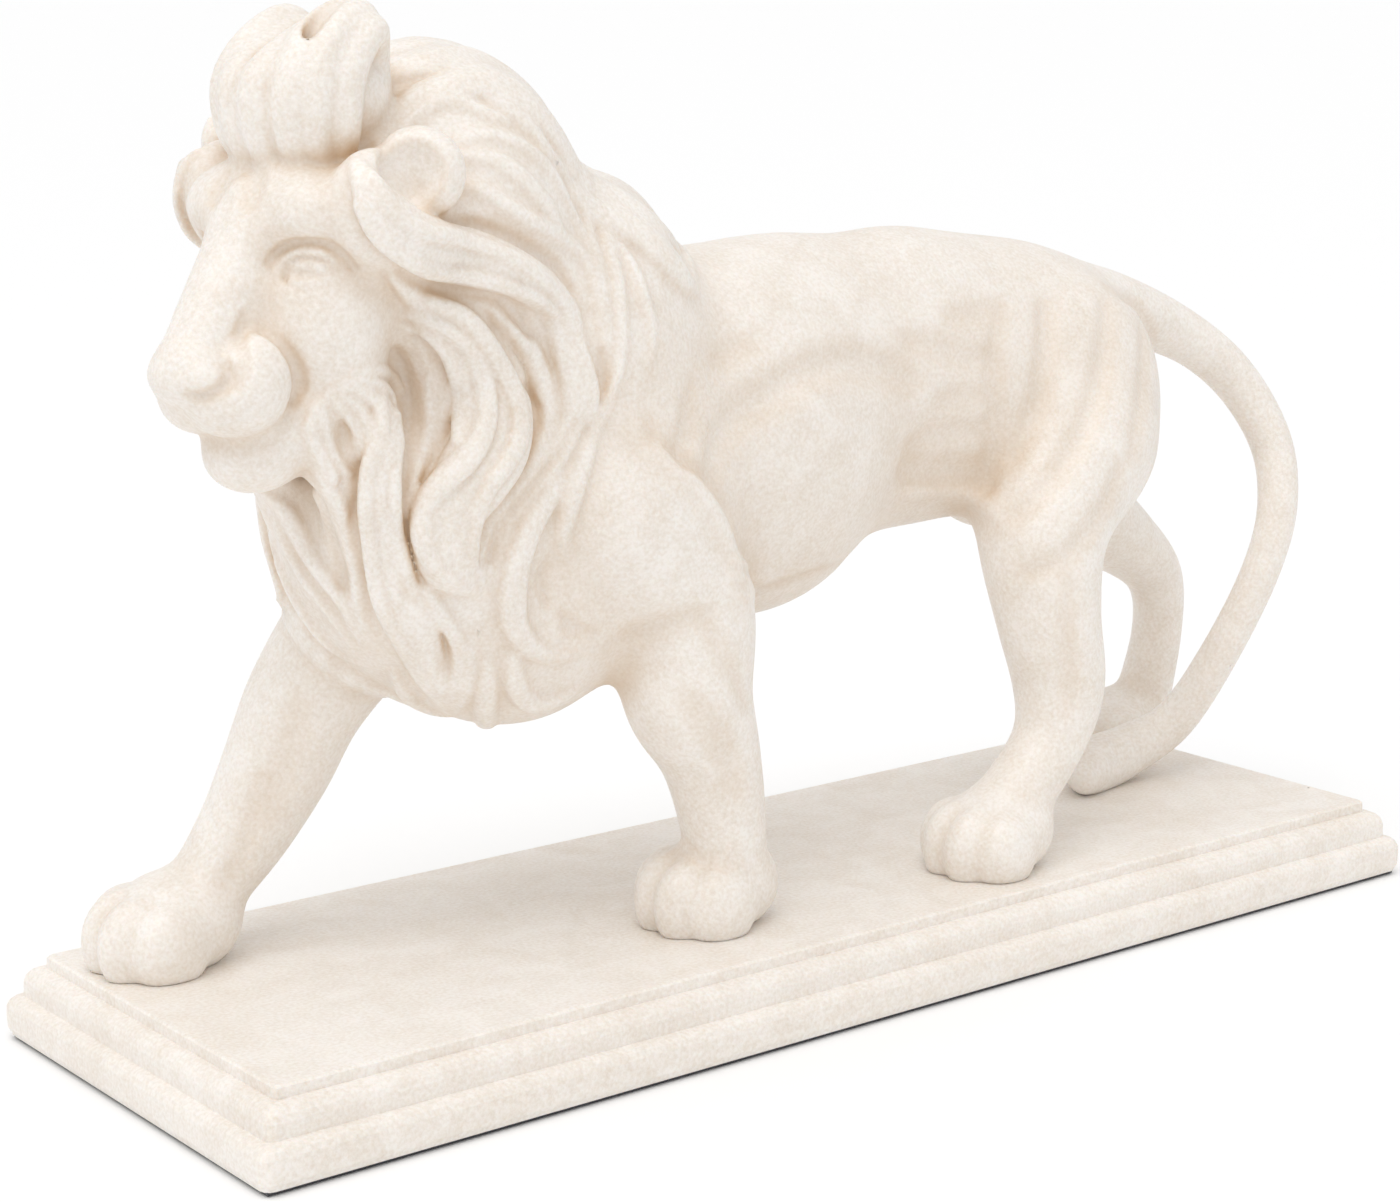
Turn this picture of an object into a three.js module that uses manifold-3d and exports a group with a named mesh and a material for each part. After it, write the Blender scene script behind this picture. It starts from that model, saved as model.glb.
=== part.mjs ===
// Standing lion with a full mane on a long moulded plinth, cast in one with its tail.
// Millimetres, +Z up. The lion faces -X, its left flank faces -Y, the floor is Z = 0.

import * as THREE from "three";
import { mergeVertices } from "three/addons/utils/BufferGeometryUtils.js";
import Module from "manifold-3d";

// Sizes of the base, in millimetres.
const plinth_length = 300;
const plinth_width = 101;
const felt_thickness = 0.8;
const felt_inset = 0.8;
const plinth_height = 16.2;
const corner_radius = 2.2;
const plinth_top = felt_thickness + plinth_height;

// Height of the lion above the plinth. Every form below is a share of it: the forms are
// written for a figure of 183 on a ledge 17 above the floor.
const figure_height = 183;
const written_height = 183;
const written_ledge = 17;
const share = figure_height / written_height;

// Clay: a block of space that holds the distance to the carved surface.
const grid_step = 2.1;
const far_away = 8;
const block_low = [-172, -60, 9];
const block_high = [166, 52, 208];
const wanted_triangles = 9000;

const head_turn = THREE.MathUtils.degToRad(12);
const head_middle = new THREE.Vector3(-124.5, -11.4, 156);
const head_forward = new THREE.Vector3(-Math.cos(head_turn), -Math.sin(head_turn), 0);
const head_left = new THREE.Vector3(Math.sin(head_turn), -Math.cos(head_turn), 0);

function in_head(forward, left, up) {
  const point = head_middle.clone();
  point.addScaledVector(head_forward, forward);
  point.addScaledVector(head_left, left);
  point.z += up;
  return point.toArray();
}

// Smooth route through control rows; every column of a row is carried along.
function route(rows, steps) {
  const places = rows.map((row) => new THREE.Vector3(row[0], row[1], row[2]));
  const widths = rows.map((row) => row[3]);
  const curve = new THREE.CatmullRomCurve3(places, false, "catmullrom", 0.5);
  const last = rows.length - 1;
  const found = [];
  for (let i = 0; i <= last * steps; i += 1) {
    const share_along = i / (last * steps);
    const place = curve.getPoint(share_along);
    const at = share_along * last;
    const from = Math.min(Math.floor(at), last - 1);
    const mix = at - from;
    const ease = mix * mix * (3 - 2 * mix);
    found.push([place.x, place.y, place.z, widths[from] * (1 - ease) + widths[from + 1] * ease]);
  }
  return found;
}

function soft_min(a, b, reach) {
  const h = Math.max(reach - Math.abs(a - b), 0) / reach;
  return Math.min(a, b) - h * h * reach * 0.25;
}

class Clay {
  constructor(low, high, step) {
    this.low = low;
    this.step = step;
    this.count = low.map((value, i) => Math.ceil((high[i] - value) / step) + 1);
    this.field = new Float32Array(this.count[0] * this.count[1] * this.count[2]).fill(far_away);
  }

  copy() {
    const high = this.low.map((value, i) => value + (this.count[i] - 1.5) * this.step);
    const twin = new Clay(this.low, high, this.step);
    twin.field.set(this.field);
    return twin;
  }

  // Lets a form change every grid point within reach of its box.
  work(low, high, reach, cut, distance) {
    const [nx, ny, nz] = this.count;
    const margin = far_away + reach;
    const from = low.map((v, i) => Math.max(0, Math.floor((v - margin - this.low[i]) / this.step)));
    const to = high.map((v, i) => Math.ceil((v + margin - this.low[i]) / this.step));
    for (let i = from[0]; i <= Math.min(to[0], nx - 1); i += 1) {
      const x = this.low[0] + i * this.step;
      for (let j = from[1]; j <= Math.min(to[1], ny - 1); j += 1) {
        const y = this.low[1] + j * this.step;
        for (let k = from[2]; k <= Math.min(to[2], nz - 1); k += 1) {
          const z = this.low[2] + k * this.step;
          const at = (i * ny + j) * nz + k;
          const d = distance(x, y, z);
          this.field[at] = cut ? -soft_min(-this.field[at], d, reach) : soft_min(this.field[at], d, reach);
        }
      }
    }
  }

  // Ball with three radii, turned about Y and then about Z.
  ball(middle, radii, reach, turn = [0, 0], cut = false) {
    const tilt = THREE.MathUtils.degToRad(turn[0]);
    const spin = THREE.MathUtils.degToRad(turn[1]);
    const [ct, st, cs, ss] = [Math.cos(tilt), Math.sin(tilt), Math.cos(spin), Math.sin(spin)];
    const axes = [
      [cs * ct, ss * ct, -st],
      [-ss, cs, 0],
      [cs * st, ss * st, ct],
    ];
    const half = [0, 1, 2].map((i) => Math.hypot(...axes.map((axis, a) => axis[i] * radii[a])));
    const low = middle.map((v, i) => v - half[i]);
    const high = middle.map((v, i) => v + half[i]);
    this.work(low, high, reach, cut, (x, y, z) => {
      const q = [x - middle[0], y - middle[1], z - middle[2]];
      let first = 0;
      let second = 0;
      for (let a = 0; a < 3; a += 1) {
        const along = (q[0] * axes[a][0] + q[1] * axes[a][1] + q[2] * axes[a][2]) / radii[a];
        first += along * along;
        second += (along / radii[a]) ** 2;
      }
      const k0 = Math.sqrt(first);
      return (k0 * (k0 - 1)) / (Math.sqrt(second) + 1e-9);
    });
  }

  // Round limb along a route of [x, y, z, radius] rows.
  limb(rows, reach, steps = 5, cut = false) {
    const path = route(rows, steps);
    const most = Math.max(...path.map((p) => p[3]));
    const low = [0, 1, 2].map((i) => Math.min(...path.map((p) => p[i])) - most);
    const high = [0, 1, 2].map((i) => Math.max(...path.map((p) => p[i])) + most);
    this.work(low, high, reach, cut, (x, y, z) => {
      let best = 1e9;
      for (let s = 0; s + 1 < path.length; s += 1) {
        const a = path[s];
        const b = path[s + 1];
        const run = [b[0] - a[0], b[1] - a[1], b[2] - a[2]];
        const q = [x - a[0], y - a[1], z - a[2]];
        const square = run[0] ** 2 + run[1] ** 2 + run[2] ** 2 + 1e-9;
        const t = Math.min(1, Math.max(0, (q[0] * run[0] + q[1] * run[1] + q[2] * run[2]) / square));
        const gap = Math.hypot(q[0] - t * run[0], q[1] - t * run[1], q[2] - t * run[2]);
        best = Math.min(best, gap - (a[3] + t * (b[3] - a[3])));
      }
      return best;
    });
  }

  sample(point) {
    const [nx, ny, nz] = this.count;
    const q = point.map((v, i) => Math.min(Math.max((v - this.low[i]) / this.step, 0), this.count[i] - 1.001));
    const base = q.map(Math.floor);
    const f = q.map((v, i) => v - base[i]);
    let sum = 0;
    for (let c = 0; c < 8; c += 1) {
      const o = [c & 1, (c >> 1) & 1, (c >> 2) & 1];
      const weight = o.reduce((w, on, i) => w * (on ? f[i] : 1 - f[i]), 1);
      const at = ((base[0] + o[0]) * ny + base[1] + o[1]) * nz + base[2] + o[2];
      sum += weight * this.field[at];
    }
    return sum;
  }

  slope(point, reach) {
    const g = [0, 1, 2].map((i) => {
      const ahead = point.slice();
      const behind = point.slice();
      ahead[i] += reach;
      behind[i] -= reach;
      return this.sample(ahead) - this.sample(behind);
    });
    return new THREE.Vector3(...g).normalize();
  }

  // Flat lock of hair along a route, laid on the surface that bed holds. A row's fourth number
  // is half the lock's width. The lock is cut out instead of laid on where cut is true.
  lock(bed, rows, reach, thickness = 0.62, rise = 0.3, cut = false) {
    const path = route(rows, 4).map((row) => {
      const width = Math.max(row[3], 0.3);
      let place = new THREE.Vector3(row[0], row[1], row[2]);
      for (let pass = 0; pass < 4; pass += 1) {
        const off = bed.sample(place.toArray()) - rise * width * thickness;
        place = place.addScaledVector(bed.slope(place.toArray(), 3), -0.9 * off);
      }
      return { place, width, out: bed.slope(place.toArray(), 4) };
    });
    const pieces = [];
    for (let s = 0; s + 1 < path.length; s += 1) {
      const run = path[s + 1].place.clone().sub(path[s].place);
      const along = run.clone().normalize();
      const out = path[s].out.clone().add(path[s + 1].out);
      out.addScaledVector(along, -out.dot(along)).normalize();
      const side = along.clone().cross(out);
      const square = run.lengthSq() + 1e-9;
      pieces.push({ a: path[s], b: path[s + 1], run, along, out, side, square });
    }
    const most = Math.max(...path.map((p) => p.width));
    const low = [0, 1, 2].map((i) => Math.min(...path.map((p) => p.place.getComponent(i))) - most);
    const high = [0, 1, 2].map((i) => Math.max(...path.map((p) => p.place.getComponent(i))) + most);
    this.work(low, high, reach, cut, (x, y, z) => {
      let best = 1e9;
      for (const piece of pieces) {
        const { a, b, run, along, out, side, square } = piece;
        const q = [x - a.place.x, y - a.place.y, z - a.place.z];
        const t = Math.min(1, Math.max(0, (q[0] * run.x + q[1] * run.y + q[2] * run.z) / square));
        const r = [q[0] - t * run.x, q[1] - t * run.y, q[2] - t * run.z];
        const across = r[0] * side.x + r[1] * side.y + r[2] * side.z;
        const above = r[0] * out.x + r[1] * out.y + r[2] * out.z;
        const beyond = r[0] * along.x + r[1] * along.y + r[2] * along.z;
        const w = a.width + t * (b.width - a.width);
        const h = w * thickness;
        const k0 = Math.sqrt((across / w) ** 2 + (above / h) ** 2 + (beyond / w) ** 2);
        const k1 = Math.sqrt((across / w ** 2) ** 2 + (above / h ** 2) ** 2 + (beyond / w ** 2) ** 2);
        best = Math.min(best, (k0 * (k0 - 1)) / (k1 + 1e-9));
      }
      return best;
    });
  }
}

// Trunk: rib cage, chest, loins, croup, back, belly and withers.
function shape_trunk(clay) {
  clay.ball([-16, 1, 113.5], [42, 28, 36.5], 8);
  clay.ball([-50, 1, 110], [32, 29, 38], 10);
  clay.ball([34, 1, 122.5], [42, 22, 29], 8);
  clay.ball([65, 1, 118], [37, 23, 29], 8);
  clay.ball([4, 1, 123.5], [34, 21, 28], 6);
  clay.ball([-5, 1, 109.5], [34, 25, 35], 8);
  clay.ball([-36, 1, 134], [28, 16, 14], 8);
  clay.ball([34, 0, 99.5], [27, 13, 11.6], 8);
}

// Legs: thigh and shank of both hind legs, shoulder and forearm of both forelegs.
function shape_legs(clay) {
  clay.ball([76, -13, 108], [24, 14, 30], 6, [10, 0]);
  clay.limb([[74, -16, 104, 18], [59.5, -22, 88, 14.3], [58.5, -25, 70, 11.6], [61.5, -26, 54, 10.2],
    [58, -27, 42, 8.2], [47, -27, 30, 8.2]], 6);
  clay.ball([78, 15, 108], [22, 12, 28], 6);
  clay.limb([[78, 16, 102, 17], [105, 19, 84, 13], [127.5, 20.5, 71, 9.2], [141, 21, 60, 7.1],
    [142.5, 21, 46, 6.5], [139, 21.5, 30, 7.1]], 6);
  clay.ball([-50, -17, 106], [22, 14, 28], 8, [-12, 0]);
  clay.limb([[-52, -18, 104, 18], [-38, -21, 84, 14.5], [-37, -22, 66, 13], [-32, -22, 55, 10.6],
    [-29, -22, 44, 9.4], [-27, -22, 32, 8.4]], 5);
  clay.limb([[-62, 14, 100, 20], [-83, 17, 84, 14.5], [-97, 20, 67, 12], [-103, 22, 54, 11],
    [-110, 24, 41, 9.4], [-118, 25, 31, 8]], 5);
}

// One paw: a pad and four toes, its soles below the ledge so that they are cut flat there.
function shape_paw(clay, x, y, size) {
  const at = (forward, left, up) => [x - forward * size, y - left * size, written_ledge + up * size];
  clay.ball(at(-2, 0, 7.6), [13 * size, 11.5 * size, 10 * size], 3);
  for (const [left, forward] of [[-8.5, 5.5], [-3, 8.5], [3, 8.5], [8.5, 5.5]]) {
    clay.ball(at(forward, left, 5.2), [7 * size, 4.7 * size, 7.2 * size], 1.2);
  }
}

function shape_tail(clay) {
  clay.limb([[80, 1, 128, 14], [97, 0, 130, 9], [120, -1, 123.5, 6.3], [136, -5, 112.5, 5.5],
    [144, -11, 97, 5], [143, -15, 82, 4.7], [138, -15, 67, 4.5], [131, -10, 48, 4.6],
    [125, -2, 31, 5], [114, 3, 24, 6.2], [103, 3, 22, 6.6], [95, -2, 21, 3.4]], 4, 6);
}

// Mass of the mane beneath its locks, and the skull in front of it.
function shape_mane_bed(clay) {
  clay.ball([-84, -3, 155.5], [28.5, 28, 33.6], 6);
  clay.ball([-57, 0, 136], [31.5, 30, 31], 8);
  clay.ball([-83, -1, 107], [29.5, 28, 36], 8);
  clay.ball([-68, -5, 83], [24, 21, 21], 8);
}

function head_ball(clay, place, radii, reach, cut = false, extra = 0) {
  clay.ball(in_head(...place), radii, reach, [0, 192 + extra], cut);
}

function head_limb(clay, rows, reach, steps = 4, cut = false) {
  clay.limb(rows.map(([f, l, u, r]) => [...in_head(f, l, u), r]), reach, steps, cut);
}

function shape_skull(clay) {
  head_ball(clay, [-20, 0, 4], [20, 19, 19], 5);
  head_ball(clay, [-8, 0, 5], [11, 15, 12], 5);
  const bridge = [[-6, 0, 10, 7], [-1, 0, 3, 7.5], [4, 0, -4, 7.2], [9.5, 0, -12, 6.8], [13.3, 0, -17, 6.2]];
  head_limb(clay, bridge, 6);
  head_ball(clay, [3, 0, -20], [11, 10, 9], 4);
  for (const side of [1, -1]) {
    head_ball(clay, [-9.5, 8 * side, -12], [12, 10.3, 14], 6);
    head_ball(clay, [-3.6, 10.5 * side, 7.5], [6.4, 7, 6], 5);
    head_ball(clay, [-10, 19 * side, 8.5], [7, 5.5, 9.5], 4);
    head_limb(clay, [[-9, 9 * side, -17, 5.5], [-14, 10.5 * side, -28, 6.3], [-20, 12 * side, -42, 6]], 5);
    head_ball(clay, [-18, 18 * side, 5], [9, 7.5, 11], 5);
  }
}

// Face: nose, lip pads, eyes in their sockets and chin.
function shape_face(clay) {
  head_ball(clay, [14.6, 0, -20.2], [6.4, 8.6, 5.4], 3);
  for (const side of [1, -1]) {
    head_ball(clay, [7.6, 8.1 * side, -21], [6.8, 6.1, 8.3], 1.6);
    head_limb(clay, [[-9, 7.5 * side, -22, 4], [-5, 7 * side, -27, 5], [0, 4 * side, -31, 6]], 4);
    head_ball(clay, [9.4, 3.8 * side, -24.6], [7.4, 6.6, 6.4], 3);
    head_ball(clay, [3.8, 11 * side, -1.2], [4, 2.8, 2.8], 3, true);
    head_ball(clay, [-3, 11.4 * side, -1.8], [5.6, 3.8, 3.2], 1.2);
  }
  head_ball(clay, [-1, 0, -32], [9.6, 9, 8.4], 3);
  head_ball(clay, [2, 0, -36], [7.6, 7.6, 5.8], 4);
}

// Locks of the mane on the lion's left. Each row is a place on the mane and half the width there.
const mane_locks = {
  temple: [[-112, -24, 169, 3.2], [-107, -26, 161, 5.2], [-99, -27, 156, 6.1], [-90, -30, 153, 5.3],
    [-78, -29, 146, 5], [-70, -28, 136, 4.7], [-68, -28, 127, 4.6], [-69, -27, 118, 4.4],
    [-76, -28, 111, 3.3], [-84, -28, 106, 0.7]],
  front_curl: [[-103, -25, 153, 3.1], [-97, -26, 147, 4.6], [-87, -25, 136, 5.6], [-83, -24, 128, 6.7],
    [-86, -26, 120, 7], [-91, -27, 113, 6.8], [-96, -26, 107, 6.1], [-96, -26, 100, 5],
    [-92, -26, 96, 2.5], [-87, -27, 93, 0.5]],
  breast_curl: [[-74, -27, 117, 2.6], [-79, -28, 110, 3.1], [-82, -28, 101, 3.1], [-82, -27, 91, 3.1],
    [-78, -26, 83, 2.4], [-67, -23, 78, 1.5], [-58, -22, 77, 0.4]],
  crown_1: [[-87, -2, 191, 2], [-82, -4, 192, 2.8], [-77, -8, 191, 3], [-72, -11, 186, 3],
    [-67, -13, 179, 2.6], [-56, -10, 171, 1.5]],
  crown_2: [[-95, -7, 186, 2.1], [-86, -10, 188, 3.2], [-79, -15, 185, 3.2], [-74, -19, 180, 3.1],
    [-67, -19, 172, 2.7], [-56, -18, 164, 2.2], [-51, -21, 159, 1.1]],
  crown_3: [[-105, -20, 173, 1.4], [-97, -16, 180, 2.5], [-89, -17, 183, 3], [-82, -19, 183, 3],
    [-77, -23, 177, 2.9], [-70, -24, 169, 2.5], [-59, -22, 160, 2.2], [-50, -25, 153, 0.9]],
  crown_4: [[-91, -26, 172, 1.4], [-84, -26, 176, 2.3], [-77, -26, 172, 2.7], [-69, -24, 167, 2.7],
    [-62, -24, 159, 2.6], [-58, -27, 150, 2.2], [-54, -30, 141, 1.1]],
  crown_5: [[-91, -27, 167, 1.4], [-83, -28, 171, 2.1], [-76, -28, 165, 2.3], [-69, -26, 159, 2.2],
    [-63, -27, 151, 2], [-60, -29, 141, 1.8], [-57, -30, 132, 0.7]],
  crown_6: [[-91, -28, 164, 1.2], [-84, -30, 164, 2.1], [-74, -29, 159, 2.3], [-67, -27, 152, 2.2],
    [-63, -29, 143, 2], [-61, -29, 134, 1.5], [-60, -30, 126, 0.6]],
  shoulder: [[-65, -28, 145, 2.2], [-62, -30, 137, 2.7], [-61, -30, 129, 2.8], [-63, -29, 121, 2.6],
    [-66, -29, 112, 2.4], [-69, -29, 104, 1.8], [-71, -28, 99, 0.6]],
  inner: [[-84, -29, 143, 1.8], [-78, -27, 137, 2.5], [-74, -26, 129, 2.9], [-74, -27, 122, 2.9],
    [-78, -28, 115, 2.2], [-83, -28, 109, 1.1], [-87, -29, 104, 0.4]],
  neck_1: [[-63, -18, 177, 1.5], [-50, -12, 169, 2.5], [-43, -14, 162, 2.4], [-36, -14, 155, 1.7],
    [-27, -11, 148, 0.6]],
  neck_2: [[-59, -21, 162, 1.8], [-53, -25, 154, 2.6], [-48, -27, 146, 2.4], [-48, -28, 138, 1.5],
    [-51, -30, 131, 0.6]],
  cheek_curl: [[-103, -24, 147, 1.8], [-100, -21, 140, 2.8], [-96, -20, 131, 3.2], [-97, -22, 123, 3],
    [-99, -23, 117, 2.1], [-102, -24, 110, 0.7]],
  breast_2: [[-88, -26, 92, 1.8], [-87, -24, 84, 2.7], [-85, -21, 76, 3], [-79, -15, 67, 1.5],
    [-71, -10, 63, 0.6]],
  breast_3: [[-94, -25, 94, 2.2], [-92, -24, 86, 3.3], [-89, -20, 77, 3.3], [-83, -14, 68, 1.9],
    [-76, -8, 62, 0.6]],
  breast_5: [[-78, -25, 81, 2.2], [-74, -22, 74, 2.8], [-64, -13, 67, 1.9], [-59, -15, 68, 0.6]],
  low_back: [[-69, -28, 101, 2.6], [-71, -27, 92, 3], [-69, -25, 84, 2.4], [-61, -21, 76, 1.5],
    [-51, -14, 71, 0.4]],
};

// Locks of the beard, which hang down the middle of the chest.
const beard_locks = {
  left_side: [[-108, -11, 125, 1.8], [-109, -15, 118, 2.7], [-109, -17, 110, 3], [-109, -17, 102, 3],
    [-108, -16, 93, 2.5], [-103, -13, 82, 0.9]],
  left_long: [[-102, -16, 129, 2.1], [-103, -20, 120, 3.6], [-105, -21, 111, 4.3], [-104, -22, 102, 4.5],
    [-101, -21, 92, 4.3], [-96, -20, 83, 3.6], [-89, -15, 71, 1.3]],
  left_front: [[-113, -6, 118, 1.8], [-113, -11, 111, 2.9], [-113, -13, 103, 3.2], [-110, -13, 94, 3.1],
    [-107, -13, 87, 2.2], [-102, -12, 80, 0.6]],
  middle: [[-115, -1, 112, 1.8], [-116, -3, 106, 2.6], [-115, -5, 100, 3], [-112, -6, 92, 2.6],
    [-107, -7, 84, 0.9]],
  right_front: [[-113, 5, 114, 2.2], [-113, 5, 106, 3.2], [-112, 4, 97, 3.4], [-108, 3, 88, 2.6],
    [-100, 2, 78, 0.8]],
  right_side: [[-108, 12, 120, 2.2], [-109, 13, 111, 3.2], [-108, 13, 101, 3.6], [-104, 12, 90, 3.2],
    [-97, 9, 78, 1]],
  right_long: [[-102, 18, 122, 2.4], [-102, 20, 112, 4], [-100, 20, 101, 4.2], [-97, 18, 90, 3.8],
    [-90, 13, 77, 1.2]],
};

// A place on the lion's right across from a place on its left: across the turned head's middle
// for high places, across the trunk's middle for low ones.
function across(row) {
  const place = new THREE.Vector3(row[0], row[1], row[2]);
  const off = place.clone().sub(head_middle).dot(head_left);
  const high = place.clone().addScaledVector(head_left, -2 * off);
  const low = new THREE.Vector3(row[0], -2 - row[1], row[2]);
  const mix = THREE.MathUtils.clamp((row[2] - 105) / 45, 0, 1);
  return [...low.lerp(high, mix).toArray(), row[3]];
}

function shape_locks(clay, bed) {
  for (const rows of Object.values(mane_locks)) {
    clay.lock(bed, rows, 0.8);
    clay.lock(bed, rows.map(across), 0.8);
  }
  for (const rows of Object.values(beard_locks)) {
    clay.lock(bed, rows, 0.8);
  }
}

// Swept quiff over the brow: strands that rise from its foot, bow forward and part into two
// crests. Each strand has the way it faces, its crest left of the middle, and its top.
function shape_quiff(clay) {
  head_ball(clay, [-14.5, 0.5, 26], [12.5, 13, 11], 2);
  const strands = [[-80, -13.6, 36.4], [-56, -11, 40.9], [-34, -7.4, 42.2], [-12, -3.1, 40.6],
    [12, 3.4, 40.8], [34, 7.2, 43.2], [56, 10.6, 43.1], [80, 13.2, 40.6]];
  for (const [turn, crest, top] of strands) {
    const ahead = Math.cos(THREE.MathUtils.degToRad(turn));
    const aside = Math.sin(THREE.MathUtils.degToRad(turn));
    const rows = [
      [-13 + 10.5 * ahead, 0.8 + 11.2 * aside, 15.8 + 2 * aside ** 2, 2.4],
      [-12.5 + 12.4 * ahead, 0.8 + 12.2 * aside, 21, 3.2],
      [-12.5 + 12.4 * ahead, 0.8 + 12.8 * aside, 28.5, 3.6],
      [-14 + 8 * ahead, 0.8 + (12.8 * aside + crest) / 2, top - 7, 3.3],
      [-17 + 1.5 * ahead, 0.8 + crest, top - 2.8, 2.8],
      [-21, crest * 0.75, top - 7, 2.8],
      [-23, crest * 0.6, top - 16, 2.5],
    ];
    head_limb(clay, rows, 0.8, 3);
  }
  const parting = [[-24, 1.1, 40, 2], [-14, 1.1, 40, 1.7], [-5, 1.4, 36, 1.5], [1, 1.8, 28, 1]];
  head_limb(clay, parting, 1, 4, true);
}

function shape_ears(clay) {
  for (const side of [1, -1]) {
    head_ball(clay, [-19, 22.4 * side, 13.6], [5, 8.2, 8.2], 1.5, false, 40 * side);
    head_ball(clay, [-13.8, 26 * side, 14.6], [3.8, 6, 6.2], 1, true, 40 * side);
  }
  head_limb(clay, [[-17, -24, 12, 4], [-16, -26, 17, 3.2], [-15.6, -27, 21, 1.2]], 2);
}

// Soft hollows between the muscles. Each row is a place on the skin and half the width there.
function shape_hollows(clay, bed) {
  const hollows = [
    [[-56, -31, 119, 1.6], [-46, -34, 112, 2.6], [-37, -32, 102, 2.6], [-30, -32, 92, 1.8]],
    [[53, -16, 138, 1.4], [50, -21, 126, 2.4], [48, -20, 113, 1.4]],
    [[67, -18, 135, 1.4], [60, -23, 121, 2.4], [55, -23, 109, 1.4]],
    [[78, -22, 131, 1.4], [67, -28, 117, 2.4], [58, -28, 105, 1.4]],
    [[70, -33, 100, 1.4], [60, -35, 89, 2.4], [48, -28, 79, 1.4]],
    [[-35, -24, 133, 1.4], [-18, -22, 134, 2.2], [-2, -23, 131, 2.2], [12, -22, 125, 1.2]],
    [[-43, -34, 70, 1], [-39, -33, 59, 1.6], [-35, -30, 48, 1]],
  ];
  for (const rows of hollows) {
    clay.lock(bed, rows, 2.5, 0.5, 0.1, true);
    const other = rows.map(([x, y, z, w]) => [x, 2 - y, z, w]);
    if (rows[0][2] > 110) clay.lock(bed, other, 2.5, 0.5, 0.1, true);
  }
}

// Marching through the grid, six tetrahedra to a cell, so that the skin is closed everywhere.
function skin_of(clay) {
  const [nx, ny, nz] = clay.count;
  const corner = (c) => ((c & 1) * ny + ((c >> 1) & 1)) * nz + ((c >> 2) & 1);
  const tetrahedra = [[0, 1, 3, 7], [0, 3, 2, 7], [0, 2, 6, 7], [0, 6, 4, 7], [0, 4, 5, 7], [0, 5, 1, 7]];
  const known = new Map();
  const places = [];
  const faces = [];
  const total = nx * ny * nz;
  const place_of = (p) => {
    const k = p % nz;
    const j = ((p - k) / nz) % ny;
    const i = (p - k - j * nz) / (nz * ny);
    return [i, j, k].map((v, axis) => clay.low[axis] + v * clay.step);
  };
  const between = (p, q) => {
    const key = Math.min(p, q) * total + Math.max(p, q);
    if (known.has(key)) return known.get(key);
    const a = clay.field[p];
    const b = clay.field[q];
    const t = THREE.MathUtils.clamp(a / (a - b), 0.1, 0.9);
    const from = place_of(p);
    const to = place_of(q);
    places.push(from.map((v, i) => v + t * (to[i] - v)));
    known.set(key, places.length - 1);
    return places.length - 1;
  };
  const emit = (a, b, c, inside) => {
    const [pa, pb, pc, pi] = [places[a], places[b], places[c], place_of(inside)];
    const u = pb.map((v, i) => v - pa[i]);
    const w = pc.map((v, i) => v - pa[i]);
    const normal = [u[1] * w[2] - u[2] * w[1], u[2] * w[0] - u[0] * w[2], u[0] * w[1] - u[1] * w[0]];
    const facing = normal.reduce((sum, v, i) => sum + v * (pi[i] - pa[i]), 0);
    faces.push(facing > 0 ? [a, c, b] : [a, b, c]);
  };
  for (let i = 0; i + 1 < nx; i += 1) {
    for (let j = 0; j + 1 < ny; j += 1) {
      for (let k = 0; k + 1 < nz; k += 1) {
        const base = (i * ny + j) * nz + k;
        let inside_corners = 0;
        for (let c = 0; c < 8; c += 1) inside_corners += clay.field[base + corner(c)] < 0 ? 1 : 0;
        if (inside_corners === 0 || inside_corners === 8) continue;
        for (const tetra of tetrahedra) {
          const points = tetra.map((c) => base + corner(c));
          const inner = points.filter((p) => clay.field[p] < 0);
          const outer = points.filter((p) => clay.field[p] >= 0);
          if (inner.length === 1) {
            emit(...outer.map((p) => between(inner[0], p)), inner[0]);
          } else if (inner.length === 3) {
            emit(...inner.map((p) => between(p, outer[0])), inner[0]);
          } else if (inner.length === 2) {
            const a = between(inner[0], outer[0]);
            const b = between(inner[0], outer[1]);
            const c = between(inner[1], outer[1]);
            const d = between(inner[1], outer[0]);
            emit(a, b, c, inner[0]);
            emit(a, c, d, inner[1]);
          }
        }
      }
    }
  }
  return { places, faces };
}

// Keeps only the largest connected body of a skin.
function largest_body(skin) {
  const owner = skin.places.map((_, i) => i);
  const find = (i) => {
    let at = i;
    while (owner[at] !== at) {
      owner[at] = owner[owner[at]];
      at = owner[at];
    }
    return at;
  };
  for (const [a, b, c] of skin.faces) {
    owner[find(a)] = find(b);
    owner[find(b)] = find(c);
  }
  const size = new Map();
  for (const [a] of skin.faces) size.set(find(a), (size.get(find(a)) ?? 0) + 1);
  const largest = [...size.entries()].sort((p, q) => q[1] - p[1])[0][0];
  return { places: skin.places, faces: skin.faces.filter(([a]) => find(a) === largest) };
}

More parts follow.
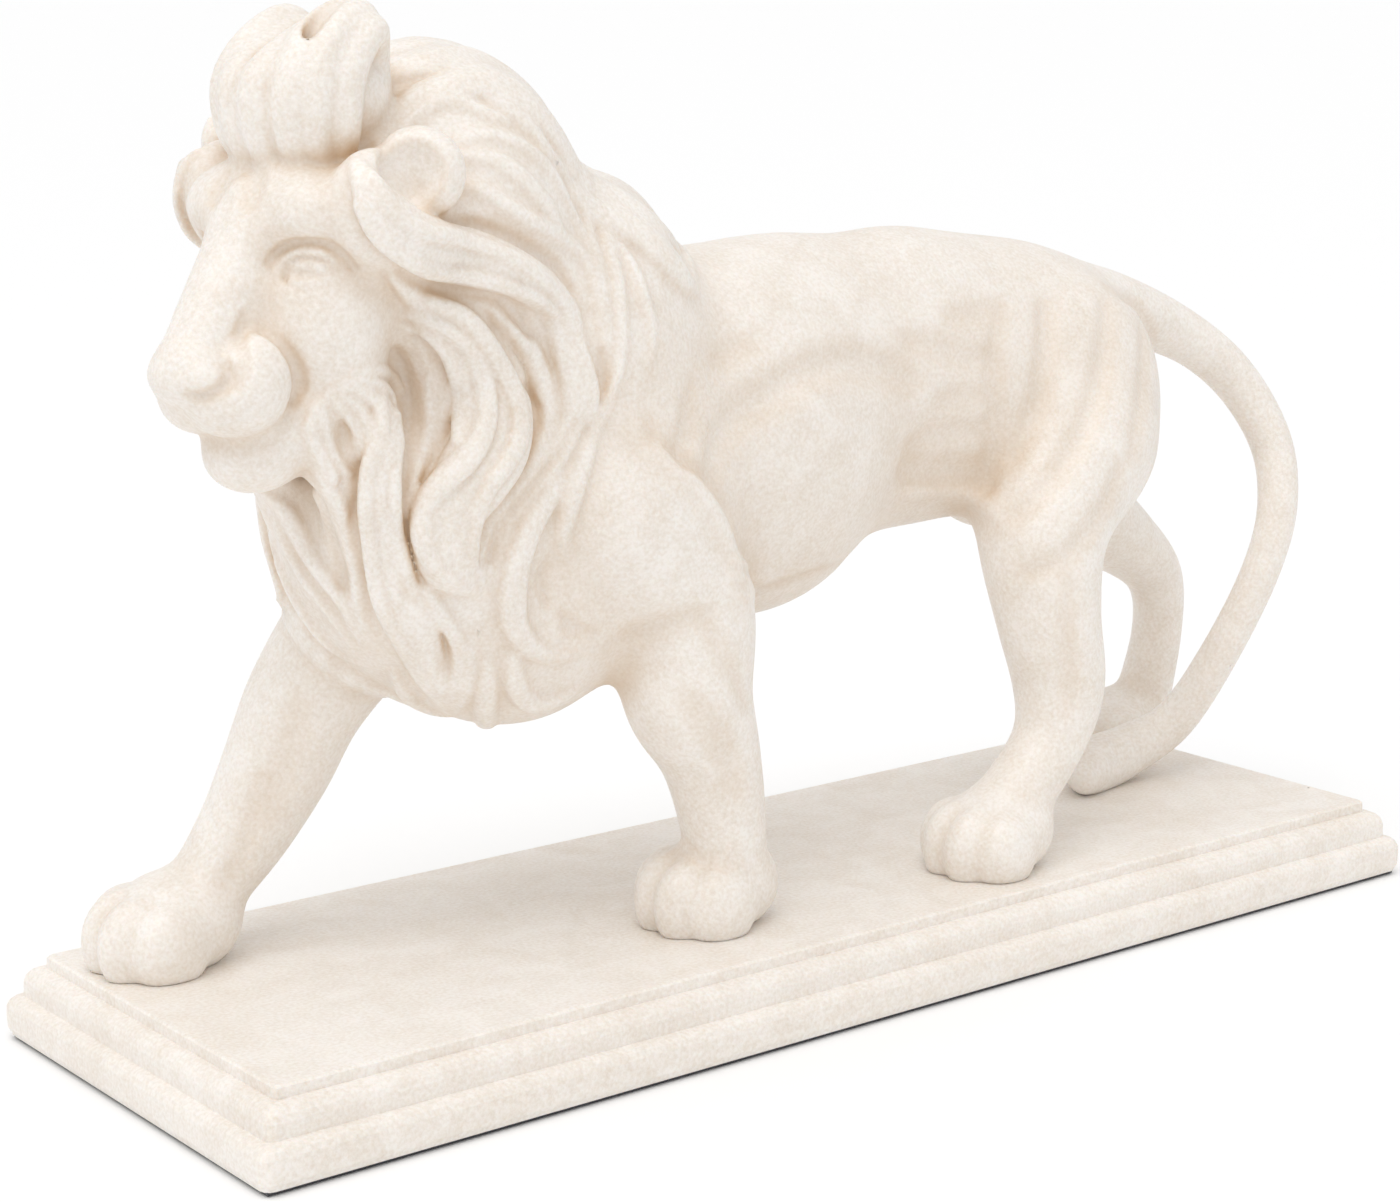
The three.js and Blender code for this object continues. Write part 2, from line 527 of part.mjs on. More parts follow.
// Thins a closed skin by folding its least needed edges, and keeps it closed: an edge folds only
// where its two ends share exactly two neighbours and no face near it turns over.
function thin(skin, target) {
  const places = skin.places.map((p) => p.slice());
  const faces = skin.faces.map((f) => f.slice());
  const alive = new Uint8Array(faces.length).fill(1);
  const round = places.map(() => new Set());
  const worth = places.map(() => new Float64Array(10));
  const plane_of = (f) => {
    const [a, b, c] = f.map((v) => places[v]);
    const u = b.map((v, i) => v - a[i]);
    const w = c.map((v, i) => v - a[i]);
    const n = [u[1] * w[2] - u[2] * w[1], u[2] * w[0] - u[0] * w[2], u[0] * w[1] - u[1] * w[0]];
    const size = Math.hypot(...n) || 1e-12;
    return { n: n.map((v) => v / size), size, at: a };
  };
  faces.forEach((f, index) => {
    f.forEach((v) => round[v].add(index));
    const { n, size, at } = plane_of(f);
    const d = -(n[0] * at[0] + n[1] * at[1] + n[2] * at[2]);
    const p = [n[0], n[1], n[2], d];
    f.forEach((v) => {
      let slot = 0;
      for (let i = 0; i < 4; i += 1) {
        for (let j = i; j < 4; j += 1) {
          worth[v][slot] += p[i] * p[j] * size;
          slot += 1;
        }
      }
    });
  });
  const cost_at = (q, x, y, z) => q[0] * x * x + 2 * q[1] * x * y + 2 * q[2] * x * z + 2 * q[3] * x
    + q[4] * y * y + 2 * q[5] * y * z + 2 * q[6] * y + q[7] * z * z + 2 * q[8] * z + q[9];
  const best_place = (a, b) => {
    const q = worth[a].map((v, i) => v + worth[b][i]);
    const [m00, m01, m02, v0, m11, m12, v1, m22, v2] = q;
    const det = m00 * (m11 * m22 - m12 * m12) - m01 * (m01 * m22 - m12 * m02) + m02 * (m01 * m12 - m11 * m02);
    const middle = places[a].map((v, i) => (v + places[b][i]) / 2);
    const choices = [middle, places[a], places[b]];
    const scale = m00 + m11 + m22;
    if (Math.abs(det) > 1e-4 * scale ** 3) {
      const x = -(v0 * (m11 * m22 - m12 * m12) - m01 * (v1 * m22 - m12 * v2) + m02 * (v1 * m12 - m11 * v2)) / det;
      const y = -(m00 * (v1 * m22 - v2 * m12) - v0 * (m01 * m22 - m12 * m02) + m02 * (m01 * v2 - v1 * m02)) / det;
      const z = -(m00 * (m11 * v2 - m12 * v1) - m01 * (m01 * v2 - v1 * m02) + v0 * (m01 * m12 - m11 * m02)) / det;
      const length = Math.hypot(...places[a].map((v, i) => v - places[b][i]));
      if (Math.hypot(x - middle[0], y - middle[1], z - middle[2]) < 2 * length) choices.push([x, y, z]);
    }
    let best = { cost: 1e18, place: middle };
    for (const place of choices) {
      const cost = cost_at(q, ...place);
      if (cost < best.cost) best = { cost, place };
    }
    return best;
  };
  const neighbours = (v) => {
    const found = new Set();
    for (const f of round[v]) faces[f].forEach((w) => found.add(w));
    found.delete(v);
    return found;
  };
  const slimness = (f) => {
    const corners = faces[f].map((w) => places[w]);
    const sides = [0, 1, 2].map((i) => Math.hypot(...corners[i].map((c, j) => c - corners[(i + 1) % 3][j])));
    return plane_of(faces[f]).size / (Math.max(...sides) ** 2 + 1e-12);
  };
  const turns_over = (v, other, place) => {
    for (const f of round[v]) {
      if (faces[f].includes(other)) continue;
      const before = plane_of(faces[f]);
      const slim_before = slimness(f);
      const kept = places[v];
      places[v] = place;
      const after = plane_of(faces[f]);
      const slim_after = slimness(f);
      places[v] = kept;
      const agree = before.n.reduce((sum, value, i) => sum + value * after.n[i], 0);
      if (agree < 0.3 && slim_before > 0.01) return true;
      if (slim_after < 0.05 && slim_after < 0.9 * slim_before) return true;
    }
    return false;
  };
  let left = faces.length;
  const fold = (a, b, place) => {
    const shared = [...round[a]].filter((f) => round[b].has(f));
    const near_a = neighbours(a);
    const near_b = neighbours(b);
    const common = [...near_a].filter((v) => near_b.has(v));
    if (shared.length !== 2 || common.length !== 2 || near_a.size + near_b.size < 8) return;
    if (turns_over(a, b, place) || turns_over(b, a, place)) return;
    places[a] = place;
    worth[a] = worth[a].map((v, i) => v + worth[b][i]);
    for (const f of shared) {
      alive[f] = 0;
      faces[f].forEach((v) => round[v].delete(f));
      left -= 1;
    }
    for (const f of round[b]) {
      faces[f] = faces[f].map((v) => (v === b ? a : v));
      round[a].add(f);
    }
    round[b] = new Set();
  };
  for (let pass = 0; left > target && pass < 60; pass += 1) {
    const limit = 2e-5 * 1.45 ** pass;
    for (let index = 0; index < faces.length && left > target; index += 1) {
      for (let e = 0; e < 3 && alive[index]; e += 1) {
        const [a, b] = [faces[index][e], faces[index][(e + 1) % 3]];
        if (a > b) continue;
        const { cost, place } = best_place(a, b);
        if (cost < limit) fold(a, b, place);
      }
    }
  }
  return { places, faces: faces.filter((_, i) => alive[i]) };
}

// Arrays that a mesh needs, from a skin's places and faces.
function packed(skin) {
  const number = new Map();
  const points = [];
  const corners = [];
  for (const face of skin.faces) {
    for (const v of face) {
      if (!number.has(v)) {
        number.set(v, points.length / 3);
        points.push(...skin.places[v]);
      }
      corners.push(number.get(v));
    }
  }
  return { points: new Float32Array(points), corners: new Uint32Array(corners) };
}

// Moves the figure from the heights it is written in to its own height on this plinth.
function onto_ledge(skin) {
  for (const place of skin.places) {
    place[0] *= share;
    place[1] *= share;
    place[2] = plinth_top + (place[2] - written_ledge) * share;
  }
  return skin;
}

function geometry_of(points, corners) {
  const geometry = new THREE.BufferGeometry();
  geometry.setAttribute("position", new THREE.BufferAttribute(points, 3));
  geometry.setIndex(new THREE.BufferAttribute(corners, 1));
  geometry.computeVertexNormals();
  return geometry;
}

// Closed skin through a stack of loops that all have the same number of points.
function stacked(loops) {
  const count = loops[0].length;
  const points = loops.flat(2);
  const corners = [];
  for (let level = 0; level + 1 < loops.length; level += 1) {
    for (let i = 0; i < count; i += 1) {
      const a = level * count + i;
      const b = level * count + ((i + 1) % count);
      corners.push(a, b, b + count, a, b + count, a + count);
    }
  }
  const top = (loops.length - 1) * count;
  for (let i = 1; i + 1 < count; i += 1) {
    corners.push(0, i + 1, i);
    corners.push(top, top + i, top + i + 1);
  }
  return { points: new Float32Array(points), corners: new Uint32Array(corners) };
}

// Rectangle with rounded corners, seen from above and going round to the left.
function rounded_loop(length, width, radius, height) {
  const loop = [];
  for (let quarter = 0; quarter < 4; quarter += 1) {
    const sx = quarter === 0 || quarter === 3 ? 1 : -1;
    const sy = quarter < 2 ? 1 : -1;
    for (let step = 0; step <= 3; step += 1) {
      const angle = (quarter + step / 3) * (Math.PI / 2);
      const x = sx * (length / 2 - radius) + radius * Math.cos(angle);
      const y = sy * (width / 2 - radius) + radius * Math.sin(angle);
      loop.push([x, y, height]);
    }
  }
  return loop;
}

// Moulding of the plinth, each step as its inset from the widest line and its share of the height:
// a bulging foot, a quarter-round above it and a thin flat slab on top.
const moulding = [[0.7, 0], [0.1, 0.09], [0, 0.22], [0.1, 0.36], [0.6, 0.43], [1.4, 0.472], [2.7, 0.495],
  [2.75, 0.56], [2.8, 0.68], [3.2, 0.755], [4, 0.81], [5.2, 0.845], [6.3, 0.853], [6.35, 0.9],
  [6.4, 0.975], [6.85, 1]];

function plinth_skin() {
  const loops = moulding.map(([inset, rise]) => rounded_loop(
    plinth_length - 2 * inset,
    plinth_width - 2 * inset,
    corner_radius - inset * 0.15,
    rise === 1 ? plinth_top : felt_thickness + rise * plinth_height,
  ));
  return stacked(loops);
}

const clay = new Clay(block_low, block_high, grid_step);
shape_trunk(clay);
shape_legs(clay);
shape_tail(clay);
const paws = [[-29, -19, 1], [-127, 25.5, 1.02], [41, -27, 0.98], [129, 22.5, 0.9]];
for (const [x, y, size] of paws) shape_paw(clay, x, y, size);
shape_hollows(clay, clay.copy());
shape_mane_bed(clay);
shape_skull(clay);
shape_locks(clay, clay.copy());
shape_face(clay);
shape_quiff(clay);
shape_ears(clay);

const figure = onto_ledge(thin(largest_body(skin_of(clay)), wanted_triangles));

const wasm = await Module();
wasm.setup();

function solid_of({ points, corners }) {
  return new wasm.Manifold(new wasm.Mesh({ numProp: 3, vertProperties: points, triVerts: corners }));
}

// Everything of the figure below the plinth's top is cut away, flat.
const below = new THREE.BoxGeometry(2 * plinth_length, 2 * plinth_width, 60);
below.deleteAttribute("normal");
below.deleteAttribute("uv");
below.translate(0, 0, plinth_top - 30);
const block = mergeVertices(below, 1e-4);
const block_parts = {
  points: new Float32Array(block.attributes.position.array),
  corners: new Uint32Array(block.index.array),
};
const standing = solid_of(packed(figure)).subtract(solid_of(block_parts));
const cut = standing.getMesh();

const marble = new THREE.MeshStandardMaterial({ color: 0xf1e6d6, roughness: 0.42, metalness: 0 });
const felt = new THREE.MeshStandardMaterial({ color: 0x2b2b30, roughness: 0.95, metalness: 0 });

const lion_points = new Float32Array(cut.vertProperties);
const lion = new THREE.Mesh(geometry_of(lion_points, new Uint32Array(cut.triVerts)), marble);
lion.name = "lion";

const plinth_parts = plinth_skin();
const plinth = new THREE.Mesh(geometry_of(plinth_parts.points, plinth_parts.corners), marble.clone());
plinth.name = "plinth";

const pad_geometry = new THREE.BoxGeometry(
  plinth_length - 2 * (0.7 + felt_inset),
  plinth_width - 2 * (0.7 + felt_inset),
  felt_thickness,
);
const felt_pad = new THREE.Mesh(pad_geometry, felt);
felt_pad.name = "felt_pad";
felt_pad.position.set(0, 0, felt_thickness / 2);

const lion_on_plinth = new THREE.Group();
lion_on_plinth.add(lion, plinth, felt_pad);

export default lion_on_plinth;
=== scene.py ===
"""Striding maned lion cast in ivory marble, on a long moulded plinth with a felt foot."""

import logging
from dataclasses import dataclass, field
from enum import Enum
from math import cos, radians, sin

import bmesh
import bpy
import numpy as np
from mathutils import Matrix, Vector


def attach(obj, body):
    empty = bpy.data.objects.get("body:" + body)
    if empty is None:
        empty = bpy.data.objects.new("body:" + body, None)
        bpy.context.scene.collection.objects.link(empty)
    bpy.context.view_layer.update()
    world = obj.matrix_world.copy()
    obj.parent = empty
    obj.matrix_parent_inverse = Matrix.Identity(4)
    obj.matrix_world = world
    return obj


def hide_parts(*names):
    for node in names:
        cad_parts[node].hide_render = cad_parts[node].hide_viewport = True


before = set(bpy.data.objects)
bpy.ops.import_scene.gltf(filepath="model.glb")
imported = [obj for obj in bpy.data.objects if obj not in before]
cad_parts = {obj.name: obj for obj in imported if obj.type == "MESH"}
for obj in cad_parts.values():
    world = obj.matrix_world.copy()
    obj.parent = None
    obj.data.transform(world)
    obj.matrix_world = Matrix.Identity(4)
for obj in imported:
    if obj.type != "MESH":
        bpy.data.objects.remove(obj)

log = logging.getLogger("lion_figurine")

Place = tuple[float, float, float]
Row = tuple[float, ...]
Colour = tuple[float, float, float, float]
MM = 0.001

# Added to a length and to a slope that something is divided by, so that neither is zero
TINY = 1e-9
SLIGHT = 1e-6


class Slot(Enum):
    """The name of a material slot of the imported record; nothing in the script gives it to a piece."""

    LION = "cast_marble"


class Side(Enum):
    """The lion's own two sides, by the sign of the distance to its left."""

    LEFT = 1
    RIGHT = -1


class Answer(Enum):
    """What a stroke on the lion's left is mirrored by to answer it on the right."""

    NONE = 0
    HEAD = 1
    TRUNK = 2


# The photograph's view

@dataclass(frozen=True)
class PhotoView:
    """Where the photograph was taken from, in millimetres, degrees and pixels.

    A ray is followed from the nearest place to the farthest, in strides.
    """

    azimuth: float = -38.2
    elevation: float = 12.1
    distance: float = 600.0
    focal: float = 2935.0
    aim: Place = (-16.4, 0.0, 77.8)
    width: int = 1400
    height: int = 1202
    nearest: float = 430.0
    farthest: float = 780.0
    stride: float = 0.7

    def axes(self) -> tuple[np.ndarray, np.ndarray, np.ndarray]:
        """Return the directions to the right, up, and back towards the camera."""
        a, e = radians(self.azimuth), radians(self.elevation)
        back = np.array([sin(a) * cos(e), -cos(a) * cos(e), sin(e)])
        right = np.array([cos(a), sin(a), 0.0])
        return right, np.cross(back, right), back

    def place(self) -> np.ndarray:
        """Return the camera's place."""
        return np.array(self.aim) + self.axes()[2] * self.distance

    def ray(self, u: float, v: float) -> np.ndarray:
        """Return the direction in which the camera sees a pixel."""
        right, up, back = self.axes()
        away = right * (u - self.width / 2) + up * (self.height / 2 - v) - back * self.focal
        return away / np.linalg.norm(away)

    def millimetres(self, place: np.ndarray, pixels: float) -> float:
        """Return the length at a place that covers so many pixels."""
        return pixels * float((self.place() - place) @ self.axes()[2]) / self.focal


# Sculpting

def smooth_route(rows: list[Row], steps: int) -> np.ndarray:
    """Run a smooth line through control rows, carrying every column along.

    Args:
        rows: Control rows; the first three columns are a place.
        steps: Pieces between one control row and the next.

    Returns:
        The rows of the smooth line.
    """
    given = np.asarray(rows, float)
    framed = np.vstack([2 * given[0] - given[1], given, 2 * given[-1] - given[-2]])
    t = np.linspace(0.0, 1.0, steps, endpoint=False)[:, None]
    found = []
    for i in range(1, len(framed) - 2):
        a, b, c, d = framed[i - 1 : i + 3]
        bend = (2 * a - 5 * b + 4 * c - d) * t**2 + (3 * b - a - 3 * c + d) * t**3
        found.append(0.5 * (2 * b + (c - a) * t + bend))
    found.append(given[-1][None])
    return np.vstack(found)


def soft_min(a: np.ndarray, b: np.ndarray, reach: float) -> np.ndarray:
    """Return the lesser of two distances, blended where they differ by less than reach."""
    h = np.maximum(reach - np.abs(a - b), 0.0) / reach
    return np.minimum(a, b) - h * h * reach * 0.25


def turned_axes(turn: Place) -> np.ndarray:
    """Return, as columns, the axes of a form turned by degrees about X, then Y, then Z."""
    x, y, z = np.radians(turn)
    about_x = np.array([[1, 0, 0], [0, np.cos(x), -np.sin(x)], [0, np.sin(x), np.cos(x)]])
    about_y = np.array([[np.cos(y), 0, np.sin(y)], [0, 1, 0], [-np.sin(y), 0, np.cos(y)]])
    about_z = np.array([[np.cos(z), -np.sin(z), 0], [np.sin(z), np.cos(z), 0], [0, 0, 1]])
    return about_z @ about_y @ about_x


@dataclass(frozen=True)
class Strokes:
    """Locks, ridges or grooves of one kind, each traced over the photograph.

    Attributes:
        routes: The rows of each: pixel across, pixel down and half its width in pixels.
        thick: Thickness as a share of the width.
        rise: How far the middle stands off the bed, as a share of the thickness.
        strands: Ridges combed along each.
        depth: Depth between the ridges, in millimetres.
        reach: How far the edges blend into what is under them, in millimetres.
        carve: Whether they are taken away instead of added.
        round: Whether they are laid as round limbs instead of flat locks.
        answer: What each is mirrored by to answer it on the lion's right.
    """

    routes: tuple[tuple[Row, ...], ...]
    thick: float = 0.62
    rise: float = 0.3
    strands: float = 0.0
    depth: float = 0.0
    reach: float = 0.8
    carve: bool = False
    round: bool = False
    answer: Answer = Answer.HEAD


class Clay:
    """A block of space, in millimetres, that holds the distance to the carved surface.

    Attributes:
        band: How far past a form its distances are right even where nothing blends.
        last_cell: Steps from the count of grid points down to the farthest place that is read.
        stroke_steps: Pieces between one control row of a stroke and the next.
        least_width: Least half width of a lock.
        settle_rounds: Times that a lock's middle is moved towards its place.
        settle_share: Share of the way that each of them moves it.
        settle_reach: Reach over which the slope is felt for it.
        facing_reach: Reach over which the slope is felt for the way a lock faces.
        comb_edge: Half width at which combing ends, as a share of the lock's own.
    """

    band: float = 2.5
    last_cell: float = 1.001
    stroke_steps: int = 4
    least_width: float = 0.3
    settle_rounds: int = 4
    settle_share: float = 0.9
    settle_reach: float = 3.0
    facing_reach: float = 4.0
    comb_edge: float = 1.25

    def __init__(self, low: Place, high: Place, step: float, far: float = 8.0) -> None:
        """Make an empty block.

        Args:
            low: Its lowest corner.
            high: Its highest corner.
            step: Distance between its grid points.
            far: Distance that empty space holds.
        """
        self.low = np.array(low, float)
        self.step = step
        self.far = far
        self.count = np.ceil((np.array(high) - self.low) / step).astype(int) + 1
        self.field = np.full(self.count, far, np.float32)

    def copy(self) -> "Clay":
        """Return a twin of this block."""
        twin = Clay(tuple(self.low), tuple(self.low + self.step), self.step, self.far)
        twin.count = self.count
        twin.field = self.field.copy()
        return twin

    def window(self, low: np.ndarray, high: np.ndarray) -> tuple[tuple, list[np.ndarray]]:
        """Return the grid slices over a box, and the coordinates along each axis there."""
        start = np.clip(np.floor((low - self.low) / self.step).astype(int), 0, self.count - 1)
        stop = np.clip(np.ceil((high - self.low) / self.step).astype(int) + 1, start + 1, self.count)
        cut = tuple(slice(a, b) for a, b in zip(start, stop))
        along = [self.low[i] + self.step * np.arange(start[i], stop[i]) for i in range(3)]
        along = [axis.astype(np.float32) for axis in along]
        return cut, [along[0][:, None, None], along[1][None, :, None], along[2][None, None, :]]

    def merge(self, cut: tuple, distance: np.ndarray, reach: float, carve: bool) -> None:
        """Add a form to the clay, or carve it away.

        Args:
            cut: Grid slices that the form was worked out on.
            distance: Distance to the form there.
            reach: How far the blend reaches.
            carve: Whether the form is taken away instead of added.
        """
        now = self.field[cut]
        new = -soft_min(-now, distance, reach) if carve else soft_min(now, distance, reach)
        self.field[cut] = new.astype(np.float32)

    def margin(self, reach: float) -> float:
        """Return how far past a form its distances have to be right."""
        return min(self.far, self.band + 2 * reach) + reach

    def ball(
        self, middle: Place, radii: Place, reach: float, turn: Place = (0, 0, 0), carve: bool = False
    ) -> None:
        """Add a ball with three radii, turned about X, Y and Z, or carve it away."""
        centre, size = np.array(middle, float), np.array(radii, float)
        axes = turned_axes(turn)
        half = np.sqrt(((axes * size) ** 2).sum(1)) + self.margin(reach)
        cut, (x, y, z) = self.window(centre - half, centre + half)
        parts = [x - centre[0], y - centre[1], z - centre[2]]
        first, second = 0.0, 0.0
        for i in range(3):
            local = sum(np.float32(axes[j, i] / size[i]) * parts[j] for j in range(3))
            first = first + local**2
            second = second + (local / np.float32(size[i])) ** 2
        first = np.sqrt(first)
        self.merge(cut, first * (first - 1) / (np.sqrt(second) + SLIGHT), reach, carve)

    def soften(self, spread: float) -> None:
        """Round off every edge and seam laid so far, over a given spread."""
        field = self.field
        for _ in range(max(1, round(2 * (spread / self.step) ** 2))):
            for axis in range(3):
                line = np.moveaxis(field, axis, 0)
                inner = line[:-2] + line[2:]
                line[1:-1] *= np.float32(0.5)
                line[1:-1] += np.float32(0.25) * inner

    def limb(self, rows: list[Row], reach: float, steps: int = 10, carve: bool = False) -> None:
        """Add a round limb along rows of x, y, z and radius, or carve it away."""
        path = smooth_route(rows, steps)
        pad = self.margin(reach)
        most = path[:, 3].max() + pad
        cut, _ = self.window(path[:, :3].min(0) - most, path[:, :3].max(0) + most)
        best = np.full(self.field[cut].shape, self.far, np.float32)
        for a, b in zip(path[:-1], path[1:]):
            run = b[:3] - a[:3]
            near = max(a[3], b[3]) + pad
            part, grid = self.window(np.minimum(a, b)[:3] - near, np.maximum(a, b)[:3] + near)
            q = [grid[i] - np.float32(a[i]) for i in range(3)]
            t = np.clip(sum(q[i] * np.float32(run[i]) for i in range(3)) / (run @ run + TINY), 0, 1)
            gap = np.sqrt(sum((q[i] - t * np.float32(run[i])) ** 2 for i in range(3)))
            gap = gap - (a[3] + t * (b[3] - a[3]))
            inner = tuple(slice(p.start - c.start, p.stop - c.start) for p, c in zip(part, cut))
            best[inner] = np.minimum(best[inner], gap)
        self.merge(cut, best, reach, carve)

    def sample(self, points: np.ndarray) -> np.ndarray:
        """Return the distance held at each point, blended between grid points."""
        q = np.clip((points - self.low) / self.step, 0, self.count - self.last_cell)
        base = np.floor(q).astype(int)
        part = q - base
        total = np.zeros(len(points))
        for corner in np.ndindex(2, 2, 2):
            weight = np.prod(np.where(corner, part, 1 - part), axis=1)
            at = base + corner
            total += weight * self.field[at[:, 0], at[:, 1], at[:, 2]]
        return total

    def slope(self, points: np.ndarray, reach: float) -> np.ndarray:
        """Return the outward direction at each point, felt over reach millimetres."""
        found = []
        for axis in np.eye(3):
            found.append(self.sample(points + axis * reach) - self.sample(points - axis * reach))
        out = np.stack(found, 1)
        return out / (np.linalg.norm(out, axis=1, keepdims=True) + TINY)

    def settle(self, points: np.ndarray, lift: np.ndarray) -> np.ndarray:
        """Move points along the slope until they lie lift millimetres above the surface."""
        placed = points.copy()
        for _ in range(self.settle_rounds):
            off = self.sample(placed) - lift
            placed -= self.settle_share * off[:, None] * self.slope(placed, self.settle_reach)
        return placed

    def seen(self, view: PhotoView, u: float, v: float) -> np.ndarray:
        """Return the place on the surface that the photograph shows at a pixel."""
        steps = np.arange(view.nearest, view.farthest, view.stride)
        points = view.place() + view.ray(u, v) * steps[:, None]
        off = self.sample(points)
        inside = np.nonzero(off < 0)[0]
        return points[inside[0]] if len(inside) else points[int(np.argmin(off))]

    def lock(self, bed: "Clay", rows: list[Row], kind: Strokes) -> None:
        """Lay a flat lock of hair on the surface that bed holds, or carve its shape in.

        Args:
            bed: The clay whose surface the lock lies on.
            rows: Places along the lock with half its width there.
            kind: The strokes whose settings it takes.
        """
        path = smooth_route(rows, self.stroke_steps)
        width = np.maximum(path[:, 3], self.least_width)
        middle = bed.settle(path[:, :3], kind.rise * width * kind.thick)
        out = bed.slope(middle, self.facing_reach)
        pad = self.margin(kind.reach)
        most = width.max() + pad
        cut, _ = self.window(middle.min(0) - most, middle.max(0) + most)
        best = np.full(self.field[cut].shape, self.far, np.float32)
        for i in range(len(middle) - 1):
            a, b = middle[i], middle[i + 1]
            run = b - a
            along = run / (np.linalg.norm(run) + TINY)
            up = out[i] + out[i + 1]
            up = up - along * (up @ along)
            up /= np.linalg.norm(up) + TINY
            side = np.cross(along, up)
            near = max(width[i], width[i + 1]) + pad
            part, grid = self.window(np.minimum(a, b) - near, np.maximum(a, b) + near)
            q = [grid[j] - np.float32(a[j]) for j in range(3)]
            t = np.clip(sum(q[j] * np.float32(run[j]) for j in range(3)) / (run @ run + TINY), 0, 1)
            r = [q[j] - t * np.float32(run[j]) for j in range(3)]
            across = sum(r[j] * np.float32(side[j]) for j in range(3))
            above = sum(r[j] * np.float32(up[j]) for j in range(3))
            beyond = sum(r[j] * np.float32(along[j]) for j in range(3))
            w = width[i] + t * (width[i + 1] - width[i])
            h = w * np.float32(kind.thick)
            first = np.sqrt((across / w) ** 2 + (above / h) ** 2 + (beyond / w) ** 2)
            second = np.sqrt((across / w**2) ** 2 + (above / h**2) ** 2 + (beyond / w**2) ** 2)
            gap = first * (first - 1) / (second + SLIGHT)
            if kind.strands:
                comb = 0.5 - 0.5 * np.cos(np.pi * kind.strands * across / w)
                gap = gap + kind.depth * comb * np.clip(self.comb_edge - np.abs(across / w), 0, 1)
            inner = tuple(slice(p.start - c.start, p.stop - c.start) for p, c in zip(part, cut))
            best[inner] = np.minimum(best[inner], gap)
        self.merge(cut, best, kind.reach, kind.carve)

    def skin(self) -> tuple[np.ndarray, np.ndarray]:
        """Return the places and four-cornered faces of the surface between clay and air."""
        inside = self.field < 0
        cells = np.array(inside.shape) - 1
        mixed = np.zeros(cells, np.int8)
        for corner in np.ndindex(2, 2, 2):
            mixed += inside[tuple(slice(c, c + n) for c, n in zip(corner, cells))]
        at = np.argwhere((mixed > 0) & (mixed < 8))
        number = np.full(cells, -1, np.int64)
        number[tuple(at.T)] = np.arange(len(at))
        total, hits = np.zeros((len(at), 3)), np.zeros((len(at), 1))
        for axis in range(3):
            step = np.eye(3, dtype=int)[axis]
            for corner in np.ndindex(2, 2, 2):
                if corner[axis]:
                    continue
                start = at + corner
                a = self.field[tuple(start.T)].astype(float)
                b = self.field[tuple((start + step).T)].astype(float)
                crossed = (a < 0) != (b < 0)
                t = np.where(crossed, a / np.where(crossed, a - b, 1.0), 0.0)
                spot = np.array(corner) + step * t[:, None]
                total += np.where(crossed[:, None], spot, 0.0)
                hits += crossed[:, None]
        places = self.low + (at + total / hits) * self.step
        faces = []
        for axis in range(3):
            first, second = (axis + 1) % 3, (axis + 2) % 3
            inner = [slice(1, -1)] * 3
            inner[axis] = slice(0, -1)
            ahead = list(inner)
            ahead[axis] = slice(1, None)
            crossing = np.argwhere(inside[tuple(inner)] != inside[tuple(ahead)])
            crossing[:, first] += 1
            crossing[:, second] += 1
            one, two = np.eye(3, dtype=int)[first], np.eye(3, dtype=int)[second]
            ring = [crossing - one - two, crossing - two, crossing, crossing - one]
            quad = np.stack([number[tuple(r.T)] for r in ring], 1)
            leaving = inside[tuple(crossing.T)]
            quad[~leaving] = quad[~leaving][:, ::-1]
            faces.append(quad)
        return places, np.vstack(faces)


# The lion

